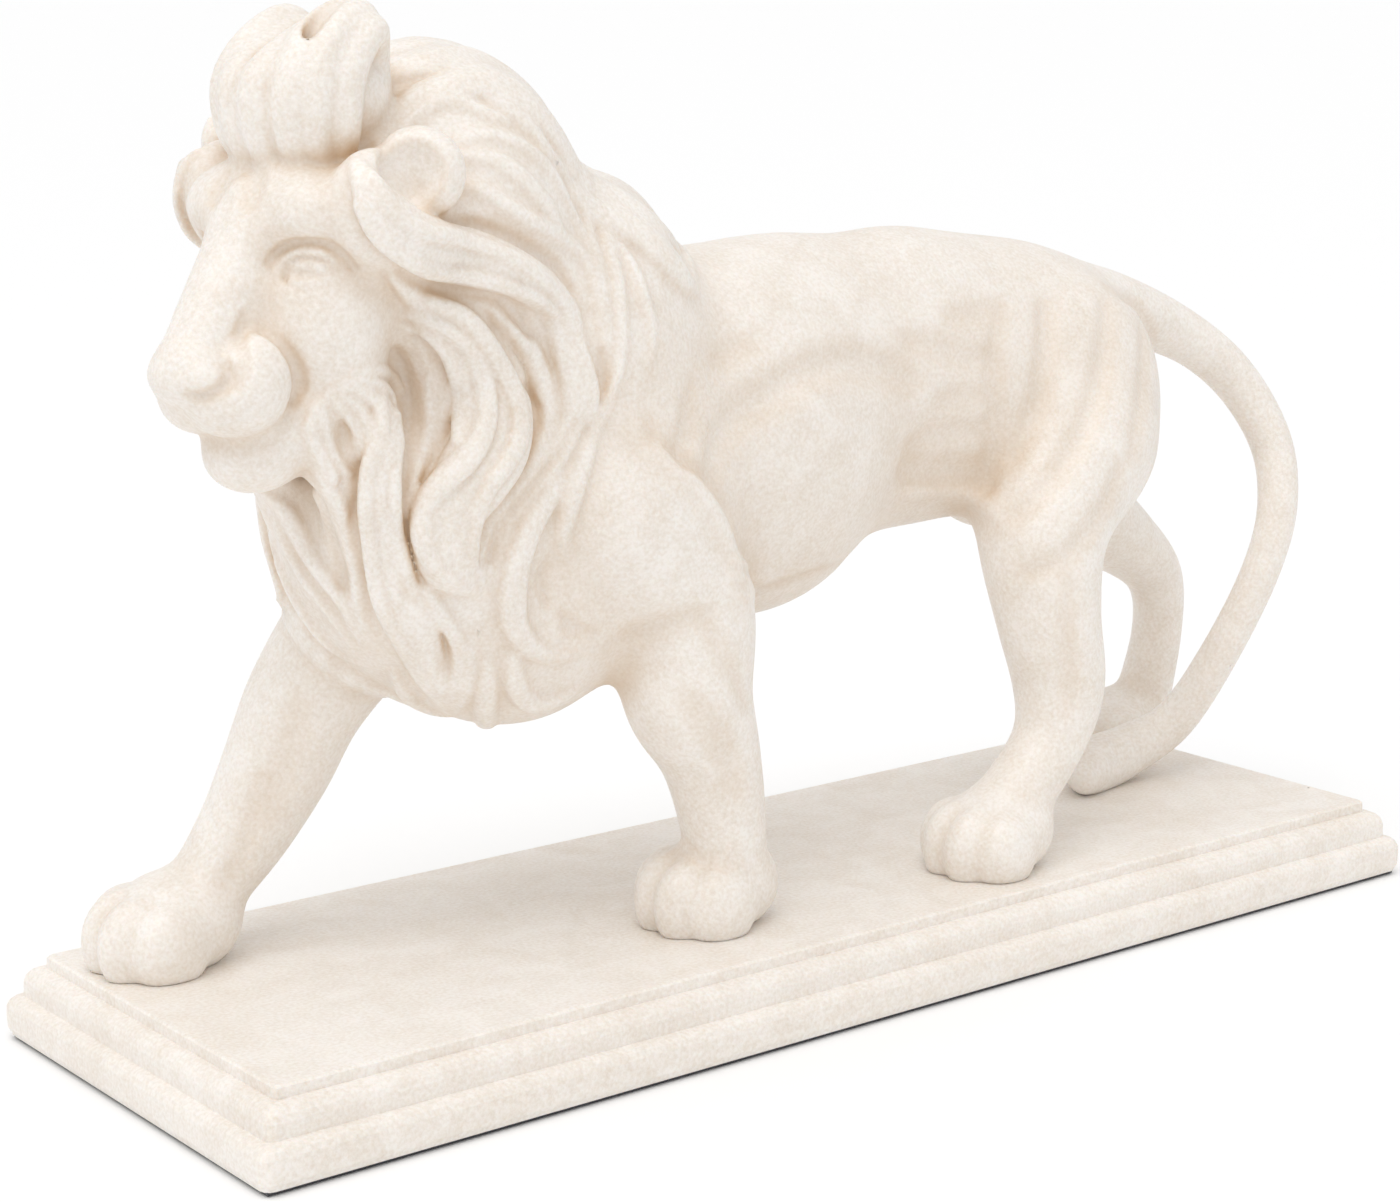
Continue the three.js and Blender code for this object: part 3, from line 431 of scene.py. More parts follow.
# Locks of the mane, in the order in which they are laid
MANE_LOCKS = (
    Strokes((
        ((392, 52, 8), (420, 46, 13), (445, 44, 14), (470, 52, 14), (490, 72, 13), (510, 90, 10),
         (530, 112, 8), (545, 140, 5)),
        ((366, 138, 6), (372, 105, 10), (388, 80, 12), (412, 69, 13), (440, 66, 13), (472, 78, 13),
         (505, 102, 12), (532, 135, 10), (552, 160, 7), (580, 195, 5)),
        ((373, 152, 5), (385, 130, 9), (402, 108, 11), (424, 93, 12), (452, 88, 12), (478, 94, 12),
         (503, 108, 12), (528, 130, 11), (550, 158, 9), (572, 190, 8), (592, 225, 6)),
    ), strands=3, depth=0.6),
    Strokes((
        ((390, 148, 5), (408, 124, 8), (432, 107, 9), (458, 104, 9), (482, 112, 8), (505, 122, 6)),
        ((460, 142, 5), (478, 136, 7), (502, 138, 8), (526, 150, 9), (546, 168, 9), (562, 192, 8),
         (576, 222, 7), (590, 255, 5)),
    ), strands=2, depth=0.5),
    Strokes((
        ((458, 158, 7), (485, 158, 9), (510, 170, 11), (532, 190, 11), (550, 212, 9), (562, 236, 6)),
        ((458, 186, 6), (478, 190, 9), (500, 204, 10), (525, 219, 10), (552, 233, 9), (576, 250, 8),
         (593, 278, 7), (600, 310, 6), (604, 345, 5)),
        ((545, 135, 5), (566, 165, 8), (586, 195, 9), (601, 226, 9), (612, 262, 9), (618, 300, 9),
         (620, 340, 8), (615, 375, 8), (604, 405, 7), (594, 430, 6)),
    ), strands=3, depth=0.6),
    Strokes((
        ((560, 172, 5), (577, 205, 7), (590, 240, 7), (600, 280, 7), (605, 320, 6), (607, 352, 4)),
    ), strands=2, depth=0.5),
    Strokes((
        ((596, 424, 6), (584, 452, 11), (574, 482, 13), (566, 512, 11), (562, 540, 8), (566, 564, 3)),
    ), strands=3, depth=0.6),
    Strokes((
        ((562, 462, 6), (548, 495, 12), (530, 525, 15), (516, 560, 17), (510, 595, 17), (514, 625, 15),
         (532, 648, 11), (560, 656, 7), (585, 649, 4), (601, 653, 2)),
        ((548, 312, 9), (562, 345, 14), (572, 385, 17), (570, 420, 16), (553, 455, 14), (530, 486, 11),
         (508, 514, 8), (490, 540, 4)),
    ), strands=4, depth=0.7),
    Strokes((
        ((508, 322, 8), (525, 345, 12), (538, 375, 13), (544, 405, 13), (542, 432, 12), (533, 458, 10),
         (518, 484, 8), (500, 508, 6), (484, 532, 3)),
    ), strands=3, depth=0.6),
    Strokes((
        ((356, 164, 8), (368, 190, 19), (385, 215, 26), (410, 238, 30), (440, 250, 31), (475, 258, 30),
         (510, 272, 26), (540, 290, 22), (562, 312, 17), (574, 340, 12), (584, 370, 9), (592, 400, 6),
         (594, 425, 3)),
    ), thick=0.55, strands=4, depth=0.6),
    Strokes((
        ((392, 278, 8), (412, 298, 16), (440, 318, 24), (468, 345, 30), (488, 380, 36), (492, 415, 40),
         (488, 445, 42), (472, 475, 40), (452, 505, 36), (444, 535, 34), (446, 560, 29), (457, 577, 18),
         (471, 587, 9), (488, 594, 3)),
    ), thick=0.5, strands=5, depth=0.6),
    Strokes((
        ((420, 345, 4), (430, 370, 5), (429, 400, 7), (429, 425, 7), (423, 450, 7), (414, 475, 6),
         (408, 505, 5), (407, 540, 4), (412, 570, 3)),
        ((437, 362, 4), (444, 392, 5), (443, 422, 5), (436, 448, 4), (426, 470, 3)),
    )),
    Strokes((
        ((380, 395, 8), (388, 430, 16), (382, 465, 21), (380, 500, 23), (384, 540, 22), (392, 580, 22),
         (402, 615, 22), (415, 645, 20), (428, 675, 15), (440, 700, 8), (447, 712, 3)),
    ), thick=0.5, strands=3, depth=0.6),
    Strokes((
        ((310, 425, 5), (309, 442, 8), (319, 468, 9), (335, 497, 9), (346, 525, 8), (353, 558, 8),
         (358, 592, 8), (364, 622, 7), (376, 648, 4)),
    ), strands=2, depth=0.5),
    Strokes((
        ((262, 488, 5), (283, 505, 10), (299, 530, 12), (313, 556, 12), (329, 580, 11), (345, 604, 9),
         (357, 628, 7), (368, 650, 3)),
        ((276, 520, 4), (286, 545, 8), (301, 570, 9), (320, 596, 9), (336, 618, 8), (348, 638, 6),
         (356, 655, 3)),
        ((248, 496, 4), (258, 520, 7), (270, 545, 8), (283, 570, 9), (295, 595, 10), (309, 618, 10),
         (326, 640, 9), (345, 656, 6), (368, 666, 3)),
    ), strands=2, depth=0.5, answer=Answer.NONE),
    Strokes((
        ((425, 590, 9), (440, 615, 10), (455, 638, 9), (459, 660, 8), (453, 688, 7), (448, 706, 3)),
        ((471, 632, 4), (470, 662, 7), (465, 690, 7), (455, 712, 4)),
    )),
    Strokes((
        ((486, 640, 4), (488, 672, 8), (486, 702, 12), (486, 722, 10), (490, 732, 4)),
        ((512, 655, 8), (516, 685, 12), (534, 703, 12), (560, 697, 10), (583, 685, 4)),
    ), strands=3, depth=0.6),
    Strokes((
        ((395, 672, 6), (408, 694, 10), (425, 708, 9), (446, 714, 5)),
    )),
    Strokes((
        ((500, 68, 4), (530, 88, 7), (553, 112, 8), (576, 144, 8), (600, 170, 7), (630, 188, 4)),
    ), strands=2, depth=0.5),
    Strokes((
        ((602, 176, 5), (620, 200, 9), (637, 225, 11), (650, 248, 9), (657, 268, 4)),
    ), strands=3, depth=0.6),
    Strokes((
        ((620, 184, 5), (645, 204, 7), (665, 228, 8), (681, 252, 7), (694, 280, 3)),
        ((604, 230, 4), (628, 262, 8), (642, 295, 9), (650, 330, 7), (650, 365, 3)),
    ), strands=2, depth=0.5),
)

# Strands combed over the broad locks, and short ones behind the mouth's corner
STRANDS = (
    Strokes((
        ((372, 175, 5), (392, 208, 8), (425, 232, 9), (465, 240, 9), (505, 256, 8), (540, 276, 7),
         (562, 300, 5), (573, 330, 3)),
        ((357, 205, 5), (378, 240, 7), (408, 262, 8), (450, 274, 9), (495, 282, 8), (532, 294, 6),
         (555, 312, 4)),
        ((575, 335, 4), (586, 365, 7), (592, 395, 7), (588, 420, 5)),
        ((430, 300, 6), (462, 315, 9), (488, 345, 10), (506, 378, 11), (518, 408, 11), (518, 438, 11),
         (505, 465, 10), (488, 490, 9), (476, 520, 7), (474, 550, 6), (482, 580, 4)),
        ((408, 312, 5), (440, 324, 7), (466, 345, 8), (482, 375, 10), (487, 410, 11), (480, 440, 12),
         (462, 465, 14), (440, 485, 14), (425, 510, 12), (422, 540, 11), (432, 565, 8), (457, 583, 4)),
    ), rise=0.1),
    Strokes((
        ((405, 328, 4), (430, 338, 5), (448, 357, 6), (457, 385, 7), (460, 415, 8), (458, 440, 7)),
    ), rise=0.2),
    Strokes((
        ((382, 400, 5), (376, 440, 7), (367, 475, 8), (365, 510, 8), (370, 550, 8), (376, 590, 8),
         (388, 620, 8), (405, 648, 6)),
        ((395, 470, 5), (395, 510, 7), (400, 550, 8), (412, 590, 8), (426, 622, 8), (437, 655, 7),
         (443, 690, 4)),
    ), rise=0.1),
    Strokes((
        ((318, 402, 4), (311, 416, 6), (310, 432, 7), (320, 456, 7), (333, 478, 6)),
        ((322, 400, 3), (322, 416, 5), (325, 436, 5), (334, 456, 5), (347, 474, 4)),
        ((326, 398, 3), (338, 405, 4), (350, 420, 5), (358, 436, 4), (363, 455, 4)),
        ((328, 394, 3), (345, 397, 4), (359, 407, 5), (367, 423, 5), (370, 445, 4)),
        ((330, 390, 3), (350, 387, 5), (368, 394, 6), (380, 410, 6), (384, 430, 5)),
        ((338, 383, 3), (358, 379, 5), (377, 384, 5), (391, 397, 5), (398, 415, 4)),
        ((352, 374, 3), (372, 369, 4), (389, 375, 5), (401, 390, 4)),
    ), rise=0.25),
)

# Deep gaps between the locks
MANE_GROOVES = (
    Strokes((
        ((395, 352, 7), (405, 376, 9), (409, 405, 7), (408, 440, 6), (404, 475, 5), (401, 510, 4),
         (400, 550, 3)),
    ), thick=1.2, rise=0.1, carve=True),
    Strokes((
        ((440, 217, 4), (470, 224, 7), (500, 234, 8), (530, 248, 8), (555, 265, 7), (569, 290, 4)),
    ), thick=1.1, rise=0.1, carve=True),
    Strokes((
        ((380, 272, 3), (390, 293, 5), (405, 309, 5), (426, 321, 3)),
        ((398, 268, 3), (430, 286, 4), (470, 293, 5), (500, 300, 7), (520, 318, 8), (532, 335, 5)),
        ((485, 310, 4), (505, 345, 6), (522, 378, 5), (533, 405, 4), (536, 430, 3)),
    ), thick=1.2, rise=0.1, carve=True),
    Strokes((
        ((578, 420, 3), (563, 448, 4), (543, 474, 5), (520, 500, 5), (502, 525, 5), (490, 560, 6)),
    ), thick=1.3, rise=0.1, carve=True),
    Strokes((
        ((600, 350, 3), (603, 375, 5), (600, 400, 3)),
    ), thick=1.2, rise=0.1, carve=True),
    Strokes((
        ((340, 414, 4), (343, 432, 8), (344, 450, 4)),
    ), thick=0.9, rise=0.1, carve=True),
    Strokes((
        ((296, 462, 5), (312, 492, 9), (325, 522, 10), (336, 552, 8), (344, 585, 5)),
    ), thick=0.8, rise=0.1, carve=True),
    Strokes((
        ((362, 458, 3), (359, 490, 4), (353, 520, 4), (356, 550, 3)),
    ), thick=1.0, rise=0.1, carve=True),
    Strokes((
        ((404, 575, 5), (412, 592, 7), (424, 608, 4)),
        ((438, 632, 4), (442, 648, 6), (442, 668, 4)),
        ((545, 560, 4), (540, 580, 7), (545, 602, 5)),
    ), thick=0.9, rise=0.1, carve=True),
    Strokes((
        ((560, 612, 4), (572, 628, 9), (590, 632, 4)),
    ), thick=0.8, rise=0.1, carve=True),
)

# Ridges and hollows of flank, shoulder and legs
MUSCLE_STROKES = (
    Strokes((
        ((910, 490, 5), (945, 487, 7), (975, 495, 7), (998, 514, 5)),
        ((640, 438, 5), (668, 458, 9), (700, 492, 10), (722, 530, 9), (736, 568, 6)),
    ), thick=0.5, rise=-0.1, reach=3, answer=Answer.TRUNK),
    Strokes((
        ((745, 594, 4), (770, 580, 6), (800, 570, 5), (832, 560, 4)),
    ), thick=0.5, rise=0.0, reach=2, answer=Answer.TRUNK),
    Strokes((
        ((681, 340, 5), (684, 370, 8), (686, 400, 9), (686, 430, 9), (680, 458, 6)),
    ), thick=0.8, rise=0.3, reach=3, carve=True, answer=Answer.TRUNK),
    Strokes((
        ((640, 398, 4), (643, 422, 6), (648, 440, 4)),
    ), thick=0.8, rise=0.2, reach=2, carve=True, answer=Answer.TRUNK),
    Strokes((
        ((712, 475, 7), (717, 445, 10), (738, 415, 11), (770, 395, 11), (800, 375, 10), (830, 364, 10),
         (860, 364, 11), (890, 371, 10), (912, 382, 4)),
    ), thick=0.7, rise=0.25, reach=4, carve=True, answer=Answer.TRUNK),
    Strokes((
        ((700, 364, 2), (722, 355, 6), (750, 345, 2)),
    ), thick=0.45, rise=0.45, reach=3, carve=True, answer=Answer.TRUNK),
    Strokes((
        ((908, 341, 1), (936, 348, 7), (966, 358, 8), (1000, 364, 1)),
    ), thick=0.5, rise=0.45, reach=3, carve=True, answer=Answer.TRUNK),
    Strokes((
        ((948, 317, 1), (972, 315, 4), (1000, 309, 1)),
        ((940, 400, 1), (960, 398, 5), (980, 396, 1)),
    ), thick=0.45, rise=0.45, reach=3, carve=True, answer=Answer.TRUNK),
    Strokes((
        ((908, 444, 1), (932, 435, 7), (958, 430, 6), (982, 427, 1)),
    ), thick=0.5, rise=0.45, reach=3, carve=True, answer=Answer.TRUNK),
    Strokes((
        ((903, 468, 1), (930, 471, 8), (958, 471, 8), (982, 473, 2)),
    ), thick=0.4, rise=0.5, reach=4, carve=True, answer=Answer.TRUNK),
    Strokes((
        ((1001, 320, 2), (995, 350, 5), (995, 400, 6), (992, 450, 6), (987, 488, 3)),
    ), thick=0.65, rise=0.35, reach=3, carve=True, answer=Answer.TRUNK),
    Strokes((
        ((1044, 308, 5), (1047, 335, 9), (1045, 365, 8), (1039, 395, 7), (1028, 427, 6), (1014, 458, 4)),
        ((1106, 308, 5), (1105, 340, 8), (1100, 375, 8), (1090, 410, 8), (1075, 445, 8), (1055, 475, 7),
         (1035, 500, 6), (1016, 518, 4)),
    ), thick=0.85, rise=0.2, reach=3, carve=True, answer=Answer.TRUNK),
    Strokes((
        ((1143, 335, 4), (1143, 375, 6), (1139, 420, 6), (1133, 455, 4)),
    ), thick=0.7, rise=0.3, reach=3, carve=True, answer=Answer.TRUNK),
    Strokes((
        ((1120, 464, 3), (1112, 490, 6), (1102, 512, 8), (1085, 536, 9), (1065, 558, 8), (1045, 568, 6),
         (1026, 573, 3)),
    ), thick=0.8, rise=0.2, reach=2.5, carve=True, answer=Answer.TRUNK),
    Strokes((
        ((1064, 572, 4), (1067, 600, 6), (1068, 640, 6), (1070, 680, 5), (1067, 708, 3)),
    ), thick=0.8, rise=0.2, reach=2, carve=True, answer=Answer.NONE),
    Strokes((
        ((1108, 288, 4), (1122, 296, 6), (1135, 305, 5), (1146, 322, 5), (1152, 342, 4)),
    ), thick=0.7, rise=0.3, reach=2, carve=True, answer=Answer.TRUNK),
    Strokes((
        ((765, 586, 3), (790, 578, 4), (820, 569, 4), (850, 557, 3)),
    ), thick=0.8, rise=0.2, reach=1.5, carve=True, answer=Answer.TRUNK),
    Strokes((
        ((664, 446, 4), (690, 464, 6), (712, 485, 7), (727, 510, 6), (739, 542, 5), (745, 556, 3)),
    ), thick=0.8, rise=0.2, reach=2, carve=True, answer=Answer.TRUNK),
    Strokes((
        ((600, 628, 4), (622, 631, 8), (645, 629, 10), (668, 622, 7), (692, 618, 5), (706, 617, 4)),
    ), thick=0.7, rise=0.3, reach=3, carve=True, answer=Answer.NONE),
    Strokes((
        ((704, 616, 4), (714, 640, 6), (727, 665, 6), (739, 690, 5), (745, 708, 3)),
    ), thick=0.8, rise=0.2, reach=2, carve=True, answer=Answer.NONE),
    Strokes((
        ((690, 700, 5), (712, 730, 7), (728, 760, 6), (735, 790, 4)),
    ), thick=0.5, rise=0.35, reach=3, carve=True, answer=Answer.NONE),
    Strokes((
        ((226, 884, 3), (236, 864, 5), (247, 838, 6), (254, 808, 5), (262, 780, 3)),
    ), thick=0.8, rise=0.2, reach=2, carve=True, answer=Answer.NONE),
    Strokes((
        ((300, 700, 4), (292, 740, 7), (280, 780, 7), (272, 815, 4)),
    ), thick=0.5, rise=0.35, reach=3, carve=True, answer=Answer.NONE),
)

# Tufts behind the near elbow
FRINGE = (
    Strokes((
        ((733, 560, 3), (740, 562, 4), (748, 569, 2)),
        ((734, 578, 2), (743, 577, 4), (751, 584, 2)),
        ((731, 592, 3), (742, 595, 3), (750, 597, 2)),
        ((728, 604, 2), (739, 607, 4), (749, 613, 2)),
    ), thick=0.7, rise=0.1, answer=Answer.TRUNK),
)

# Each strand of the quiff: degrees that it faces left of ahead, its crest left of the middle, its top
QUIFF_STRANDS = (
    (-80, -13.6, 36.4),
    (-56, -11.0, 40.9),
    (-34, -7.4, 42.2),
    (-14, -3.7, 40.2),
    (10, 4.4, 41.2),
    (37, 7.2, 43.4),
    (56, 10.6, 43.1),
    (80, 13.2, 40.6),
)

# Eye and its lids, nostril, mouth's corner, and folds of nose, cheek and brow
FACE_STROKES = (
    Strokes((
        ((270, 262, 3), (279, 251, 3.6), (292, 244, 3.8), (308, 242, 3.8), (325, 244, 3.6), (340, 253, 3),
         (352, 267, 2)),
    ), reach=1.5, round=True, carve=True),
    Strokes((
        ((296, 266, 4), (303, 265, 5.8), (312, 265, 6.4), (321, 267, 5.8), (329, 269, 3.5)),
    ), reach=0.4, round=True),
    Strokes((
        ((279, 266, 2.4), (288, 256, 3.8), (303, 250.5, 4.8), (320, 251.5, 4.8), (335, 259.5, 3.8),
         (348, 271, 2)),
    ), reach=0.3, round=True),
    Strokes((
        ((290, 280, 2), (304, 283, 3.4), (320, 282, 4), (335, 277.5, 3), (347, 271, 1.8)),
    ), reach=0.4, round=True),
    Strokes((
        ((287, 267, 1.4), (286, 273, 2.2), (285, 280, 1.6)),
    ), reach=1, round=True, carve=True),
    Strokes((
        ((228, 366, 3), (231, 374, 5), (226, 384, 6), (215, 392, 5), (200, 396, 5), (188, 394, 3)),
    ), thick=1.3, rise=0.05, carve=True, reach=1.2),
    Strokes((
        ((243, 314, 2), (242, 328, 4), (240, 340, 4), (243, 354, 4), (243, 370, 4), (238, 386, 3)),
    ), thick=0.8, rise=0.15, carve=True, reach=1.5),
    Strokes((
        ((262, 334, 3), (280, 345, 4), (293, 362, 5), (298, 382, 6), (293, 399, 4)),
    ), thick=0.8, rise=0.1, carve=True, reach=1.5),
    Strokes((
        ((294, 380, 2), (299, 386, 4), (304, 390, 2)),
    ), thick=1.2, rise=0.1, carve=True, reach=0.8),
    Strokes((
        ((250, 166, 4), (255, 182, 6), (252, 200, 3)),
    ), thick=0.6, rise=0.3, carve=True, reach=3),
)

# Locks along the top of the mane, which the photograph does not see. In place of pixels their rows
# hold millimetres: place along the lion, distance left of the crest's middle, height, half width
CREST_LOCKS = Strokes(
    (
        ((-99, 0, 187, 3), (-90, 1.5, 190, 4.5), (-78, -1.5, 190, 5), (-66, 1.5, 185, 5), (-56, -1, 176, 4.5),
         (-48, 1, 169, 3.5), (-40, 0, 163, 1.5)),
        ((-98, 7, 186, 3), (-88, 10, 188, 4.5), (-76, 7.5, 188, 5), (-64, 10.5, 181, 5), (-53, 8, 171, 4.5),
         (-44, 9.5, 163, 3), (-36, 8, 157, 1.2)),
        ((-90, 17, 183, 3), (-77, 15.5, 184, 5), (-63, 18, 176, 5), (-51, 16, 166, 5), (-41, 17, 157, 4),
         (-33, 13, 152, 1.5)),
        ((-52, 4, 170, 2.5), (-43, 5.5, 166, 4), (-34, 4, 160, 4), (-26, 5.5, 152, 1.5)),
        ((-60, 22, 166, 3), (-50, 20, 158, 4.5), (-41, 21, 149, 4), (-33, 17, 144, 1.5)),
    ),
    thick=0.5, rise=0.2, strands=2, depth=0.4,
)

# Each paw: place along the lion, place across it, and size beside the near forepaw
PAWS = ((-29, -19, 1), (-127, 25.5, 1.02), (41, -27, 0.98), (129, 22.5, 0.9))


@dataclass
class LionCasting:
    """The striding lion, one solid casting; sizes in millimetres.

    Attributes:
        view: Where the photograph was taken from.
        ledge: Height of the plinth's top, which the paws stand on.
        fine_step: Distance between the clay's grid points.
        low: Lowest corner of the clay.
        high: Highest corner of the clay.
        head_turn: Degrees that the head turns to its left.
        head_middle: Where the head's own places are measured from.
        trunk_middle: Where the plane that mirrors the trunk lies across the lion.
        chest_middle: Where the plane that mirrors the mane lies below the neck.
        crest_middle: Where the middle of the mane's crest lies across the lion.
        neck_foot: Height up to which the mane is mirrored by the chest's plane.
        neck_top: Height from which it is mirrored by the head's plane.
        body_blend: Spread over which the seams of trunk and legs are rounded off.
        muscle_blend: The same for the muscles' ridges and grooves.
        hair_blend: The same for the locks of the mane.
        most_triangles: Triangles that the mesh is thinned to.
        face_middle: Middle of the eyes, nose and mouth, from the middle of the head.
        face_reach: How far from there the mesh isn't thinned.
        fold_shade_reaches: Heights off the surface at which the hollows round a point are felt, each with its
            share of the mask by which shade is painted into the folds.
        fold_shade_feel: Reach over which the slope is felt for it.
    """

    view: PhotoView
    ledge: float = 17.0
    fine_step: float = 0.6
    quick_step: float = 1.4
    low: Place = (-152.0, -48.0, 10.0)
    high: Place = (154.0, 44.0, 203.0)
    head_turn: float = 12.0
    head_middle: Place = (-124.5, -11.4, 156.0)
    trunk_middle: float = 1.0
    chest_middle: float = -1.0
    crest_middle: float = -2.0
    neck_foot: float = 105.0
    neck_top: float = 150.0
    body_blend: float = 2.2
    muscle_blend: float = 0.7
    hair_blend: float = 0.2
    most_triangles: int = 198000
    face_middle: Place = (4.0, 0.0, -10.0)
    face_reach: float = 21.0
    # The mask of painted shade in the folds: heights with their shares, and the reach of the slope
    fold_shade_reaches: tuple[tuple[float, float], ...] = ((0.7, 0.35), (1.8, 0.3), (4.5, 0.2), (7.5, 0.15))
    fold_shade_feel: float = 0.8
    clay: Clay = field(init=False)

    def in_head(self, forward: float, left: float, up: float) -> np.ndarray:
        """Return a place given from the middle of the turned head."""
        turn = radians(self.head_turn)
        ahead = np.array([-cos(turn), -sin(turn), 0.0])
        level = np.array(self.head_middle) + forward * ahead + left * self.to_left()
        return level + up * np.array([0, 0, 1.0])

    def to_left(self) -> np.ndarray:
        """Return the direction to the left of the turned head."""
        turn = radians(self.head_turn)
        return np.array([sin(turn), -cos(turn), 0.0])

    def head_ball(
        self, place: Place, radii: Place, reach: float, turn: Place = (0, 0, 0), carve: bool = False
    ) -> None:
        """Add a ball placed and turned with the head, or carve it away."""
        spun = (turn[0], turn[1], turn[2] + 180 + self.head_turn)
        self.clay.ball(tuple(self.in_head(*place)), radii, reach, spun, carve)

    def head_limb(self, rows: list[Row], reach: float, steps: int = 4, carve: bool = False) -> None:
        """Add a round limb placed with the head, or carve it away."""
        self.clay.limb([(*self.in_head(*row[:3]), row[3]) for row in rows], reach, steps, carve)

    def across(self, row: Row) -> Row:
        """Return the row on the lion's right that answers one on its left."""
        place = np.array(row[:3])
        off = float((place - np.array(self.head_middle)) @ self.to_left())
        high = place - 2 * off * self.to_left()
        low = np.array([place[0], 2 * self.chest_middle - place[1], place[2]])
        mix = min(max((place[2] - self.neck_foot) / (self.neck_top - self.neck_foot), 0.0), 1.0)
        return (*(low * (1 - mix) + high * mix), row[3])

    def traced(self, bed: Clay, route: tuple[Row, ...]) -> list[Row]:
        """Return a route's rows of pixels as places on the bed with half widths."""
        rows = []
        for u, v, pixels in route:
            place = bed.seen(self.view, u, v)
            rows.append((*place, self.view.millimetres(place, pixels)))
        return rows

    def sides(self, rows: list[Row], answer: Answer) -> list[list[Row]]:
        """Return a stroke's rows, followed by those that answer them on the other side."""
        if answer is Answer.HEAD:
            return [rows, [self.across(row) for row in rows]]
        if answer is Answer.TRUNK:
            return [rows, [(x, 2 * self.trunk_middle - y, z, half) for x, y, z, half in rows]]
        return [rows]

    def draw(self, bed: Clay, kinds: tuple[Strokes, ...]) -> None:
        """Lay every stroke on the bed, with its answer on the other side where it has one."""
        for kind in kinds:
            for route in kind.routes:
                for rows in self.sides(self.traced(bed, route), kind.answer):
                    if kind.round:
                        self.clay.limb(rows, kind.reach, self.clay.stroke_steps, kind.carve)
                    else:
                        self.clay.lock(bed, rows, kind)

    def lay_crest(self, bed: Clay) -> None:
        """Lay the locks along the top of the mane, on the left and on the right."""
        for rows in CREST_LOCKS.routes:
            for side in Side:
                lean = [(x, self.crest_middle - y * side.value, z, half) for x, y, z, half in rows]
                self.clay.lock(bed, lean, CREST_LOCKS)

    def shape_trunk(self) -> None:
        """Shape rib cage, chest, loins, croup, back, belly and withers."""
        forms = (
            ((-16, 1, 113.5), (42, 28, 36.5), 8), ((-50, 1, 110), (32, 29, 38), 10),
            ((34, 1, 122.5), (42, 22, 29), 8), ((65, 1, 118), (37, 23, 29), 8),
            ((4, 1, 123.5), (34, 21, 28), 6), ((-5, 1, 109.5), (34, 25, 35), 8),
            ((-36, 1, 134), (28, 16, 14), 8), ((34, 0, 99.5), (27, 13, 11.6), 8),
        )
        for middle, radii, reach in forms:
            self.clay.ball(middle, radii, reach)

    def shape_legs(self) -> None:
        """Shape thighs, shanks, shoulders and forearms."""
        clay = self.clay
        clay.ball((76, -13, 108), (24, 14, 30), 6, (0, 10, 0))
        clay.limb([(74, -16, 104, 18), (59.5, -22, 88, 14.3), (58.5, -25, 70, 11.6), (61.5, -26, 54, 10.2),
                   (58, -27, 42, 8.2), (47, -27, 30, 8.2)], 6)
        clay.ball((78, 15, 108), (22, 12, 28), 6)
        clay.limb([(78, 16, 102, 17), (105, 19, 84, 13), (127.5, 20.5, 71, 9.2), (141, 21, 60, 7.1),
                   (142.5, 21, 46, 6.5), (139, 21.5, 30, 7.1)], 6)
        clay.ball((-50, -17, 106), (22, 14, 28), 8, (0, -12, 0))
        clay.limb([(-52, -18, 104, 18), (-38, -21, 84, 14.5), (-37, -22, 66, 13), (-32, -22, 55, 10.6),
                   (-29, -22, 44, 9.4), (-27, -22, 32, 8.4)], 5)
        clay.limb([(-62, 14, 100, 20), (-83, 17, 84, 14.5), (-97, 20, 67, 12), (-103, 22, 54, 11),
                   (-110, 24, 41, 9.4), (-118, 25, 31, 8)], 5)

    def shape_paw(self, x: float, y: float, size: float) -> None:
        """Shape a pad and four toes at a place on the ledge."""
        def at(forward: float, left: float, up: float) -> Place:
            """Return a place from the middle of the sole."""
            return (x - forward * size, y - left * size, self.ledge + up * size)

        self.clay.ball(at(-2, 0, 7.6), (13 * size, 11.6 * size, 10.2 * size), 3)
        for left, forward, tall in ((-8.6, 3.6, 8.6), (-3.3, 7.6, 9.4), (3.3, 7.6, 9.4), (8.6, 3.6, 8.6)):
            self.clay.ball(at(forward, left, 5.6), (8 * size, 5.2 * size, tall * size), 1.2)

    def shape_tail(self) -> None:
        """Shape the tail, which sweeps down and lies on the plinth behind the hind paws."""
        self.clay.limb([(80, 1, 128, 14), (97, 0, 130, 9), (120, -1, 123.5, 6.3), (136, -5, 112.5, 5.5),
                        (144, -11, 97, 5), (143, -15, 82, 4.7), (138, -15, 67, 4.5), (131, -10, 48, 4.6),
                        (125, -2, 31, 5), (114, 3, 24, 6.2), (103, 3, 22, 6.6), (95, -2, 21, 3.4)], 4)

